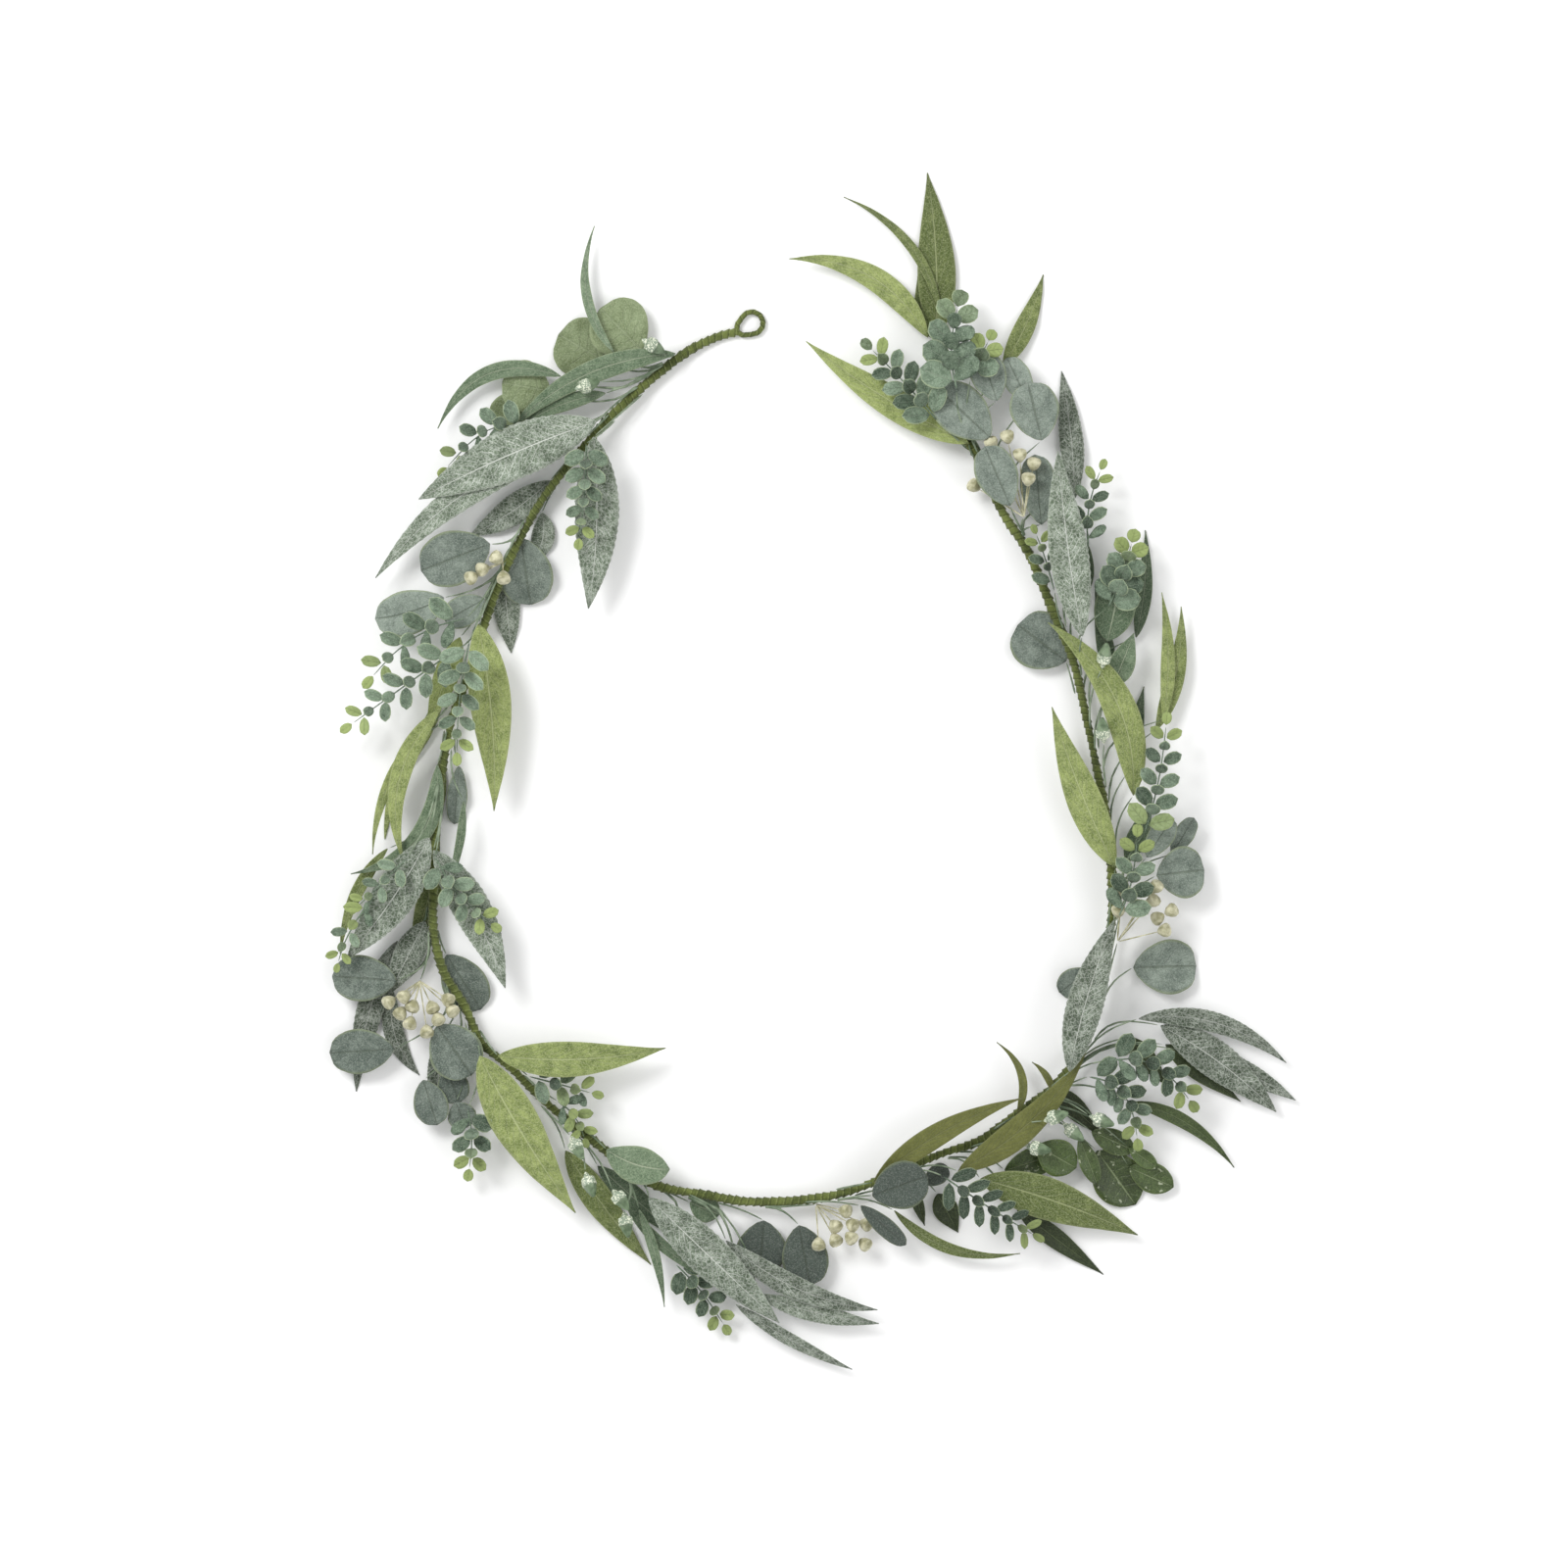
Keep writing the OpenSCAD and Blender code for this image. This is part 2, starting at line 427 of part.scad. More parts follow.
module hanging_loop() color(c_tape) eye();
module core_wire_loop_end() color(c_wire) wire(0, bend_loop_end);
module core_wire_left() color(c_wire) wire(bend_loop_end, bend_left);
module core_wire_lower_left() color(c_wire) wire(bend_left, bend_bottom);
module core_wire_right() color(c_wire) wire(bend_bottom, bend_upper_right);
module core_wire_top() color(c_wire) wire(bend_upper_right, last);
module stem_tape_loop_end() color(c_tape) tape(0, bend_loop_end);
module stem_tape_left() color(c_tape) tape(bend_loop_end, bend_left);
module stem_tape_lower_left() color(c_tape) tape(bend_left, bend_bottom);
module stem_tape_right() color(c_tape) tape(bend_bottom, bend_upper_right);
module stem_tape_top() color(c_tape) tape(bend_upper_right, last);
module mottled_round_leaves() color(c_mottled) leaves(mottled, h_mottled, "round");
module mint_leaves_upper_left() color(c_mint) leaves(mint_ul, h_mint_ul, "willow");
module frosted_leaves_upper_left() color(c_frosted) leaves(frost_ul, h_frost_ul, "frosted");
module glitter_buds_upper_left() color(c_bud) buds(bud_ul, h_bud_ul);
module small_eucalyptus_upper_left() color(c_small) sprigs(small_ul, h_small_ul);
module silver_dollar_leaves_left() color(c_dollar) leaves(dollar_l, h_dollar_l, "round");
module cream_seeds_left() color(c_seed) seed_spray(seed_root_l, seed_l, h_seed_l);
module willow_leaves_left() color(c_willow) leaves(willow_l, h_willow_l, "willow");
module mint_leaves_left() color(c_mint) leaves(mint_l, h_mint_l, "willow");
module frosted_leaves_left() color(c_frosted) leaves(frost_l, h_frost_l, "frosted");
module small_eucalyptus_left() color(c_small) sprigs(small_l, h_small_l);
module twigs_left() color(c_twig) {
    $stem_from = 3 * bend_loop_end + 1;
    $stem_to = 3 * bend_left - 1;
    leaf_stalks(mottled, h_mottled, 3);
    leaf_stalks(mint_ul, h_mint_ul, 6);
    leaf_stalks(frost_ul, h_frost_ul, 9);
    leaf_stalks(dollar_l, h_dollar_l, 12);
    leaf_stalks(willow_l, h_willow_l, 15);
    leaf_stalks(mint_l, h_mint_l, 18);
    leaf_stalks(frost_l, h_frost_l, 21);
    sprig_stalks(small_ul, h_small_ul, 24);
    sprig_stalks(small_l, h_small_l, 27);
    bud_stalks(bud_ul, h_bud_ul, 30);
    leaf_stalk([seed_root_l[0], seed_root_l[1]], seed_root_l[2], 1);
}
module frosted_leaves_lower_left() color(c_frosted) leaves(frost_ll, h_frost_ll, "frosted");
module silver_dollar_leaves_lower_left() color(c_dollar) leaves(dollar_ll, h_dollar_ll, "round");
module cream_seeds_lower_left() color(c_seed) seed_spray(seed_root_ll, seed_ll, h_seed_ll);
module small_eucalyptus_lower_left() color(c_small) sprigs(small_ll, h_small_ll);
module willow_leaves_lower_left() color(c_willow) leaves(willow_bl, h_willow_bl, "willow");
module round_leaves_lower_left() color(c_mint) leaves(round_bl, h_round_bl, "oval");
module glitter_buds_lower_left() color(c_bud) buds(bud_bl, h_bud_bl);
module small_eucalyptus_bottom_left() color(c_small) sprigs(small_bl, h_small_bl);
module mint_leaves_bottom_left() color(c_mint) leaves(mint_bl, h_mint_bl, "willow");
module frosted_leaves_bottom_left() color(c_frosted) leaves(frost_bl, h_frost_bl, "frosted");
module twigs_lower_left() color(c_twig) {
    $stem_from = 3 * bend_left + 1;
    $stem_to = 3 * bend_bottom - 1;
    leaf_stalks(frost_ll, h_frost_ll, 3);
    leaf_stalks(dollar_ll, h_dollar_ll, 6);
    leaf_stalks(willow_bl, h_willow_bl, 9);
    leaf_stalks(round_bl, h_round_bl, 12);
    leaf_stalks(mint_bl, h_mint_bl, 15);
    leaf_stalks(frost_bl, h_frost_bl, 18);
    sprig_stalks(small_ll, h_small_ll, 21);
    sprig_stalks(small_bl, h_small_bl, 24);
    bud_stalks(bud_bl, h_bud_bl, 27);
    leaf_stalk([seed_root_ll[0], seed_root_ll[1]], seed_root_ll[2], 1);
}
module silver_dollar_leaves_bottom() color(c_dollar) leaves(dollar_b, h_dollar_b, "round");
module cream_seeds_bottom() color(c_seed) seed_spray(seed_root_b, seed_b, h_seed_b);
module willow_leaves_bottom_right() color(c_willow) leaves(willow_br, h_willow_br, "willow");
module dark_leaves_bottom_right() color(c_dark) leaves(dark_br, h_dark_br, "willow");
module glossy_leaves_bottom_right() color(c_dark) leaves(glossy_br, h_glossy_br, "oval");
module glitter_buds_bottom_right() color(c_bud) buds(bud_br, h_bud_br);
module small_eucalyptus_bottom_right() color(c_small) sprigs(small_br, h_small_br);
module frosted_leaves_bottom_right() color(c_frosted) leaves(frost_br, h_frost_br, "frosted");
module small_eucalyptus_lower_right() color(c_small) sprigs(small_lr, h_small_lr);
module silver_dollar_leaves_right() color(c_dollar) leaves(dollar_r, h_dollar_r, "round");
module cream_seeds_right() color(c_seed) seed_spray(seed_root_r, seed_r, h_seed_r);
module small_eucalyptus_right() color(c_small) sprigs(small_r, h_small_r);
module willow_leaves_right() color(c_willow) leaves(willow_r, h_willow_r, "willow");
module glitter_buds_right() color(c_bud) buds(bud_r, h_bud_r);
module mint_and_dark_leaves_right() color(c_dark) leaves(mixed_r, h_mixed_r, "willow");
module frosted_leaf_upper_right() color(c_frosted) leaves(frost_ur, h_frost_ur, "frosted");
module small_eucalyptus_upper_right() color(c_small) sprigs(small_ur, h_small_ur);
module twigs_bottom_right() color(c_twig) {
    $stem_from = 3 * bend_bottom + 1;
    $stem_to = 3 * bend_upper_right - 1;
    leaf_stalks(dollar_b, h_dollar_b, 3);
    leaf_stalks(willow_br, h_willow_br, 6);
    leaf_stalks(dark_br, h_dark_br, 9);
    leaf_stalks(glossy_br, h_glossy_br, 12);
    leaf_stalks(frost_br, h_frost_br, 15);
    sprig_stalks(small_br, h_small_br, 18);
    sprig_stalks(small_lr, h_small_lr, 21);
    bud_stalks(bud_br, h_bud_br, 24);
    leaf_stalk([seed_root_b[0], seed_root_b[1]], seed_root_b[2], 1);
}
module twigs_right() color(c_twig) {
    $stem_from = 3 * bend_bottom + 1;
    $stem_to = 3 * bend_upper_right - 1;
    leaf_stalks(dollar_r, h_dollar_r, 3);
    leaf_stalks(willow_r, h_willow_r, 6);
    leaf_stalks(mixed_r, h_mixed_r, 9);
    leaf_stalks(frost_ur, h_frost_ur, 12);
    sprig_stalks(small_r, h_small_r, 15);
    sprig_stalks(small_ur, h_small_ur, 18);
    bud_stalks(bud_r, h_bud_r, 21);
    leaf_stalk([seed_root_r[0], seed_root_r[1]], seed_root_r[2], 1);
}
module silver_dollar_leaves_top() color(c_dollar) leaves(dollar_t, h_dollar_t, "round");
module cream_seeds_top() color(c_seed) seed_spray(seed_root_t, seed_t, h_seed_t);
module frosted_leaf_top() color(c_frosted) leaves(frost_t, h_frost_t, "frosted");
module willow_leaves_top() color(c_willow) leaves(willow_t, h_willow_t, "willow");
module small_eucalyptus_top() color(c_small) sprigs(small_t, h_small_t);
module twigs_top() color(c_twig) {
    $stem_from = 3 * bend_upper_right + 1;
    $stem_to = 3 * last;
    leaf_stalks(dollar_t, h_dollar_t, 3);
    leaf_stalks(frost_t, h_frost_t, 6);
    leaf_stalks(willow_t, h_willow_t, 9);
    sprig_stalks(small_t, h_small_t, 12);
    leaf_stalk([seed_root_t[0], seed_root_t[1]], seed_root_t[2], 1);
}

hanging_loop();
core_wire_loop_end();
core_wire_left();
core_wire_lower_left();
core_wire_right();
core_wire_top();
stem_tape_loop_end();
stem_tape_left();
stem_tape_lower_left();
stem_tape_right();
stem_tape_top();
mottled_round_leaves();
mint_leaves_upper_left();
frosted_leaves_upper_left();
glitter_buds_upper_left();
small_eucalyptus_upper_left();
silver_dollar_leaves_left();
cream_seeds_left();
willow_leaves_left();
mint_leaves_left();
frosted_leaves_left();
small_eucalyptus_left();
twigs_left();
frosted_leaves_lower_left();
silver_dollar_leaves_lower_left();
cream_seeds_lower_left();
small_eucalyptus_lower_left();
willow_leaves_lower_left();
round_leaves_lower_left();
glitter_buds_lower_left();
small_eucalyptus_bottom_left();
mint_leaves_bottom_left();
frosted_leaves_bottom_left();
twigs_lower_left();
silver_dollar_leaves_bottom();
cream_seeds_bottom();
willow_leaves_bottom_right();
dark_leaves_bottom_right();
glossy_leaves_bottom_right();
glitter_buds_bottom_right();
small_eucalyptus_bottom_right();
frosted_leaves_bottom_right();
small_eucalyptus_lower_right();
silver_dollar_leaves_right();
cream_seeds_right();
small_eucalyptus_right();
willow_leaves_right();
glitter_buds_right();
mint_and_dark_leaves_right();
frosted_leaf_upper_right();
small_eucalyptus_upper_right();
twigs_bottom_right();
twigs_right();
silver_dollar_leaves_top();
cream_seeds_top();
frosted_leaf_top();
willow_leaves_top();
small_eucalyptus_top();
twigs_top();
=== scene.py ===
"""Artificial greenery garland: eucalyptus, willow and frosted leaves wired along one bendable taped stem."""
import json
import math
import random

import bmesh
import bpy
import numpy as np
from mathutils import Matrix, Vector

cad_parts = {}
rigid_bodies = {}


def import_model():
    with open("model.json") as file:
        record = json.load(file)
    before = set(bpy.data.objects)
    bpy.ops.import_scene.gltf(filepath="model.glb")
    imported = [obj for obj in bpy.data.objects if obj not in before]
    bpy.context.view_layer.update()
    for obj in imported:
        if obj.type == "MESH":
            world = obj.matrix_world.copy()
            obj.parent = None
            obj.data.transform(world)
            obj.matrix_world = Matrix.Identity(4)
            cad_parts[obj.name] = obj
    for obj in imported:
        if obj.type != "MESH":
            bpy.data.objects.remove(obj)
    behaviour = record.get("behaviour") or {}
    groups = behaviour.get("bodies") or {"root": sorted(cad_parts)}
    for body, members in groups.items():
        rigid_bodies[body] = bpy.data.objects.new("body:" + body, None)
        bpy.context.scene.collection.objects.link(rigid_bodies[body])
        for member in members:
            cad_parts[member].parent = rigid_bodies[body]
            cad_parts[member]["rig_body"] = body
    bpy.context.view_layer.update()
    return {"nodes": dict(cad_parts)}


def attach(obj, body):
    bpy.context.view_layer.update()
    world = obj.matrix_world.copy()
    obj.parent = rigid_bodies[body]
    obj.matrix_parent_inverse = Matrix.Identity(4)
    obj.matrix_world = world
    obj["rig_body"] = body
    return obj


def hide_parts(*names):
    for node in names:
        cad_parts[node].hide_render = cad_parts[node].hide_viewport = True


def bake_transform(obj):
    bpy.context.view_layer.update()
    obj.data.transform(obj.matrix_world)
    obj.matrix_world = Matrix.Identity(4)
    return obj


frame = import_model()
dice = random.Random(7)
MM = 0.001

# ---------------------------------------------------------------- the maker's sizes
LEAF_CLOTH = 0.35 * MM        # thickness of the printed leaf cloth
TAPE_R = 3.0 * MM             # stem over its crepe tape
TAPE_TURN = 5.2 * MM          # advance of the tape for each turn round the stem
TAPE_RIDGE = 1.0 * MM         # how far an overlapped tape edge stands up
LOOP_WIRE_R = 1.9 * MM        # taped wire of the hanging loop
LOOP_R = 7.9 * MM             # centre line of the hanging loop, from its middle
BEND_GAP = 3.0 * MM           # stretch left open in the tape where two stem bodies meet
TAPE_STEP = 0.65 * MM         # spacing of the rings that a taped tube is built from
SLEEVE_REACH = 6.5 * MM       # how far the tape sleeve at a bend runs to each side of it
STEM_HEIGHT = 14 * MM         # height of the stem's centre line over the floor
PLASTIC = 0.5 * MM            # thickness of a moulded sprig leaf

# Centre line of the stem from the hanging loop on, in metres
STEM_ROUTE = [Vector(p) * MM for p in (
    (-54, 314, 3), (-69, 310, 3.2), (-89, 300, 5), (-114, 281, 8), (-144, 253, 12),
    (-171, 222, 14), (-193, 194, 14), (-207, 169, 14), (-222, 139, 14), (-234, 106, 14),
    (-246, 67, 14), (-257, 39, 14), (-264, 4, 14), (-269, -38, 14), (-271, -87, 14),
    (-271, -114, 14), (-264, -143, 14), (-249, -168, 14), (-236, -195, 14), (-216, -212, 14),
    (-192, -236, 14), (-165, -258, 14), (-133, -283, 14), (-110, -297, 14), (-78, -303, 12),
    (-47, -308, 12), (-7, -307, 12), (28, -300, 13), (61, -286, 14), (94, -273, 14),
    (120, -264, 14), (149, -243, 14), (175, -223, 14), (196, -192, 14), (203, -164, 14),
    (209, -136, 14), (214, -92, 14), (210, -38, 14), (203, -1, 14), (194, 43, 14),
    (186, 77, 14), (172, 112, 14), (154, 155, 14), (135, 185, 14), (117, 225, 14),
    (108, 236, 15))]
# Stem bodies in order, each with the route points between which it runs
STEM_BODIES = (("loop_end", 0, 2), ("left_stem", 2, 14), ("lower_left_stem", 14, 24),
               ("right_stem", 24, 42), ("top_stem", 42, 45))


# ---------------------------------------------------------------- small tools
def linear(code):
    """sRGB hex colour as linear RGBA."""
    parts = [int(code[i:i + 2], 16) / 255 for i in (1, 3, 5)]
    return [c / 12.92 if c <= 0.04045 else ((c + 0.055) / 1.055) ** 2.4 for c in parts] + [1.0]


def add(material, kind, inputs=None, **settings):
    """Adds one node; an input is a value, or another node's output socket to link."""
    node = material.node_tree.nodes.new(kind)
    for name, value in settings.items():
        setattr(node, name, value)
    for key, value in (inputs or {}).items():
        if isinstance(value, bpy.types.NodeSocket):
            material.node_tree.links.new(value, node.inputs[key])
        else:
            node.inputs[key].default_value = value
    return node


def blank(name, roughness, sheen=0.0, specular=0.5, coat=0.0):
    """A new material with its Principled shader; what is the same all over is set on the shader."""
    material = bpy.data.materials.new(name)
    material.use_nodes = True
    shader = material.node_tree.nodes["Principled BSDF"]
    shader.inputs["Roughness"].default_value = roughness
    shader.inputs["Sheen Weight"].default_value = sheen
    shader.inputs["Sheen Roughness"].default_value = 0.5
    shader.inputs["Specular IOR Level"].default_value = specular
    shader.inputs["Coat Weight"].default_value = coat
    shader.inputs["Coat Roughness"].default_value = 0.25
    return material, shader


def alone(obj):
    """Makes obj the one selected and active object."""
    bpy.ops.object.select_all(action="DESELECT")
    obj.select_set(True)
    bpy.context.view_layer.objects.active = obj


def applied(obj, kind, **settings):
    """Adds a modifier and applies it."""
    alone(obj)
    modifier = obj.modifiers.new(kind.title(), kind)
    for name, value in settings.items():
        setattr(modifier, name, value)
    bpy.ops.object.modifier_apply(modifier=modifier.name)


def joined(parts, name):
    """Joins the parts into one piece of that name."""
    bpy.ops.object.select_all(action="DESELECT")
    for part in parts:
        part.select_set(True)
    bpy.context.view_layer.objects.active = parts[0]
    if len(parts) > 1:
        bpy.ops.object.join()
    piece = bpy.context.view_layer.objects.active
    piece.name = piece.data.name = name
    return piece


def finished(piece, material, body, nodes):
    """Gives a piece its material, body and CAD nodes."""
    piece.data.materials.clear()
    piece.data.materials.append(material)
    alone(piece)
    bpy.ops.object.shade_smooth()
    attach(piece, body)
    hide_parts(*nodes)


# ---------------------------------------------------------------- materials
def leaf_material(name, tones, edge, rib, veins, vein_colour, vein_width=0.1, vein_show=0.5,
                  roughness=0.75, sheen=0.25, coat=0.0, mottle=8.0, print_mm=0.9, net=0.0, net_mm=3.2,
                  frost=0.0, frost_colour="#c3cabf", edge_show=0.6, rib_show=0.7, rib_width=0.06,
                  lime=None, lime_share=1.0, specks=None, patchy=0.0):
    """Pressed leaf cloth. UV runs along the leaf from its base, and across it with the midrib at 0.5."""
    material, shader = blank(name, roughness, sheen=sheen, specular=0.35, coat=coat)
    place = add(material, "ShaderNodeTexCoord").outputs["Object"]
    uv = add(material, "ShaderNodeSeparateXYZ", {0: add(material, "ShaderNodeUVMap", uv_map="leaf").outputs[0]})
    along, across = uv.outputs["X"], uv.outputs["Y"]
    # tint: each leaf's own tone, with painted shade added on the leaves that lie low under the others
    tint_and_shade = add(material, "ShaderNodeAttribute", attribute_name="tint_and_shade").outputs["Fac"]
    side = add(material, "ShaderNodeMath", {0: across, 1: 0.5}, operation="SUBTRACT").outputs[0]
    half = add(material, "ShaderNodeMath", {0: add(material, "ShaderNodeMath", {0: side},
               operation="ABSOLUTE").outputs[0], 1: 2.0}, operation="MULTIPLY").outputs[0]
    blotch = add(material, "ShaderNodeTexNoise", {"Vector": place, "Scale": 1000 / mottle, "Detail": 5.0,
                 "Roughness": 0.68}).outputs["Fac"]
    grain = add(material, "ShaderNodeTexNoise", {"Vector": place, "Scale": 1000 / print_mm, "Detail": 2.0,
                "Roughness": 0.7}).outputs["Fac"]
    # cloudy print: dark to light tone by the blotches, shifted leaf by leaf by each leaf's own tone and by painted
    # shade on the leaves that lie low
    cloud = add(material, "ShaderNodeMath", {0: blotch, 1: tint_and_shade}, operation="ADD").outputs[0]
    step = add(material, "ShaderNodeMapRange", {"Value": cloud, "From Min": 0.34, "From Max": 0.7}).outputs[0]
    colour = add(material, "ShaderNodeMix", {0: step, 6: linear(tones[0]), 7: linear(tones[2])},
                 data_type="RGBA").outputs[2]
    # light and dark dots of the print
    for low, high, share, tone in ((0.5, 0.68, 0.55, tones[1]), (0.48, 0.34, 0.45, tones[0])):
        dot = add(material, "ShaderNodeMapRange", {"Value": grain, "From Min": low, "From Max": high}).outputs[0]
        dot = add(material, "ShaderNodeMath", {0: dot, 1: share}, operation="MULTIPLY").outputs[0]
        colour = add(material, "ShaderNodeMix", {0: dot, 6: colour, 7: linear(tone)}, data_type="RGBA").outputs[2]
    # side veins leave the midrib at an angle and curve towards the tip
    wander = add(material, "ShaderNodeTexNoise", {"Vector": place, "Scale": 1000 / 9.0, "Detail": 2.0}).outputs["Fac"]
    phase = add(material, "ShaderNodeMath", {0: along, 1: float(veins)}, operation="MULTIPLY").outputs[0]
    lean = add(material, "ShaderNodeMath", {0: half, 1: -3.2 if veins > 8 else -1.3},
               operation="MULTIPLY").outputs[0]
    phase = add(material, "ShaderNodeMath", {0: phase, 1: lean}, operation="ADD").outputs[0]
    phase = add(material, "ShaderNodeMath", {0: wander, 1: 1.1, 2: phase}, operation="MULTIPLY_ADD").outputs[0]
    saw = add(material, "ShaderNodeMath", {0: phase, 1: 0.5}, operation="PINGPONG").outputs[0]
    vein = add(material, "ShaderNodeMapRange", {"Value": saw, "From Min": vein_width, "From Max": 0.01},
               interpolation_type="SMOOTHSTEP").outputs[0]
    fade = add(material, "ShaderNodeMapRange", {"Value": half, "From Min": 1.0, "From Max": 0.5}).outputs[0]
    broken = add(material, "ShaderNodeMapRange", {"Value": grain, "From Min": 0.3, "From Max": 0.55}).outputs[0]
    vein = add(material, "ShaderNodeMath", {0: vein, 1: fade}, operation="MULTIPLY").outputs[0]
    paint = add(material, "ShaderNodeMath", {0: vein, 1: vein_show}, operation="MULTIPLY").outputs[0]
    if patchy:
        # the flock is worn off the veins in places
        worn = add(material, "ShaderNodeMapRange", {"Value": wander, "From Min": 0.4, "From Max": 0.6,
                   "To Min": 1.0 - 0.75 * patchy}).outputs[0]
        paint = add(material, "ShaderNodeMath", {0: paint, 1: worn}, operation="MULTIPLY").outputs[0]
    if net:
        # the fine veins between the side veins
        cell = add(material, "ShaderNodeTexVoronoi", {"Vector": place, "Scale": 1000 / net_mm},
                   feature="DISTANCE_TO_EDGE").outputs["Distance"]
        mesh_line = add(material, "ShaderNodeMapRange", {"Value": cell, "From Min": 0.13, "From Max": 0.02,
                        "To Max": net}).outputs[0]
        paint = add(material, "ShaderNodeMath", {0: paint, 1: mesh_line}, operation="MAXIMUM").outputs[0]
    paint = add(material, "ShaderNodeMath", {0: paint, 1: broken}, operation="MULTIPLY").outputs[0]
    colour = add(material, "ShaderNodeMix", {0: paint, 6: colour, 7: linear(vein_colour)},
                 data_type="RGBA").outputs[2]
    if frost:
        # white flock caught in the cloth between the veins, more of it in some places
        flock = add(material, "ShaderNodeTexNoise", {"Vector": place, "Scale": 1000 / 1.7, "Detail": 6.0,
                    "Roughness": 0.85, "Distortion": 0.8}).outputs["Fac"]
        flock = add(material, "ShaderNodeMath", {0: blotch, 1: 0.35, 2: flock}, operation="MULTIPLY_ADD").outputs[0]
        flock = add(material, "ShaderNodeMapRange", {"Value": flock, "From Min": 0.68, "From Max": 0.84}).outputs[0]
        flock = add(material, "ShaderNodeMath", {0: flock, 1: frost}, operation="MULTIPLY").outputs[0]
        colour = add(material, "ShaderNodeMix", {0: flock, 6: colour, 7: linear(frost_colour)},
                     data_type="RGBA").outputs[2]
    if specks:
        # pale drops of the coating
        drop = add(material, "ShaderNodeTexNoise", {"Vector": place, "Scale": 1000 / 4.5, "Detail": 1.0,
                   "Distortion": 0.6}).outputs["Fac"]
        drop = add(material, "ShaderNodeMapRange", {"Value": drop, "From Min": 0.68, "From Max": 0.72,
                   "To Max": 0.75}).outputs[0]
        colour = add(material, "ShaderNodeMix", {0: drop, 6: colour, 7: linear(specks)}, data_type="RGBA").outputs[2]
    # midrib and the paler cut edge
    ribbed = add(material, "ShaderNodeMapRange", {"Value": half, "From Min": rib_width,
                 "From Max": rib_width * 0.3}).outputs[0]
    shown = add(material, "ShaderNodeMath", {0: ribbed, 1: rib_show}, operation="MULTIPLY").outputs[0]
    colour = add(material, "ShaderNodeMix", {0: shown, 6: colour, 7: linear(rib)}, data_type="RGBA").outputs[2]
    rim = add(material, "ShaderNodeMapRange", {"Value": half, "From Min": 0.88, "From Max": 0.99}).outputs[0]
    rim = add(material, "ShaderNodeMath", {0: rim, 1: edge_show}, operation="MULTIPLY").outputs[0]
    colour = add(material, "ShaderNodeMix", {0: rim, 6: colour, 7: linear(edge)}, data_type="RGBA").outputs[2]
    if lime:
        young = add(material, "ShaderNodeAttribute", attribute_name="young").outputs["Fac"]
        fresh = add(material, "ShaderNodeMix", {0: blotch, 6: linear(lime[0]), 7: linear(lime[1])},
                    data_type="RGBA").outputs[2]
        young = add(material, "ShaderNodeMath", {0: young, 1: lime_share}, operation="MULTIPLY").outputs[0]
        colour = add(material, "ShaderNodeMix", {0: young, 6: colour, 7: fresh}, data_type="RGBA").outputs[2]
    # some leaves are darker all over than others: by their own tone, and by painted shade on the leaves that lie low
    # under the others
    value = add(material, "ShaderNodeMapRange", {"Value": tint_and_shade, "From Min": -0.4, "From Max": 0.3,
                "To Min": 0.55, "To Max": 1.1}).outputs[0]
    colour = add(material, "ShaderNodeHueSaturation", {"Value": value, "Color": colour}).outputs[0]
    material.node_tree.links.new(colour, shader.inputs["Base Color"])
    # pressed relief: veins sunk in, weave on top
    relief = add(material, "ShaderNodeMath", {0: vein, 1: -0.9, 2: grain}, operation="MULTIPLY_ADD").outputs[0]
    relief = add(material, "ShaderNodeMath", {0: ribbed, 1: -1.4, 2: relief}, operation="MULTIPLY_ADD").outputs[0]
    bump = add(material, "ShaderNodeBump", {"Strength": 0.8, "Distance": 0.5 * MM, "Height": relief})
    material.node_tree.links.new(bump.outputs[0], shader.inputs["Normal"])
    return material


# Printed polyester leaf cloth, heat pressed: dull, a cloudy print, a raised midrib line
willow_cloth = leaf_material("printed_willow_cloth", ("#57682c", "#bcc48a", "#9ba963"), edge="#b4be85",
                             rib="#bcc68f", veins=14, vein_colour="#bfc994", vein_width=0.09, vein_show=0.55,
                             net=0.3, net_mm=2.6, rib_show=0.7, edge_show=0.5, lime=("#50531d", "#8c8d44"),
                             lime_share=0.75)
mint_cloth = leaf_material("printed_mint_cloth", ("#4f6749", "#aab99b", "#85997b"), edge="#a6b58f",
                           rib="#bcc7aa", veins=14, vein_colour="#afbc9f", vein_show=0.35, net=0.25)
mottled_cloth = leaf_material("mottled_round_cloth", ("#6c7b52", "#b6c09c", "#98a780"), edge="#a5b488",
                              rib="#a3b18c", veins=6, vein_colour="#a3b18c", vein_show=0.25, mottle=11, net=0.3,
                              rib_show=0.4)
dollar_cloth = leaf_material("dusty_dollar_cloth", ("#566359", "#aab3a9", "#909c90"), edge="#9aa77c",
                             rib="#55614f", veins=5, vein_colour="#a0aaa0", vein_show=0.35, mottle=10,
                             roughness=0.8, edge_show=0.6, rib_show=0.5, net=0.2)
# Flocked cloth: white fibres stand on the veins and lie between them like frost
frosted_cloth = leaf_material("flocked_frosted_cloth", ("#3b4a35", "#93a08b", "#6d7d66"), edge="#bcc5b6",
                              rib="#e4e9df", veins=24, vein_colour="#e4e9df", vein_width=0.14, vein_show=0.95,
                              net=0.38, net_mm=3.0, frost=0.75, frost_colour="#d3dacf", patchy=1.0,
                              roughness=0.9, sheen=0.45, mottle=9, edge_show=0.4, rib_show=0.85,
                              rib_width=0.035)
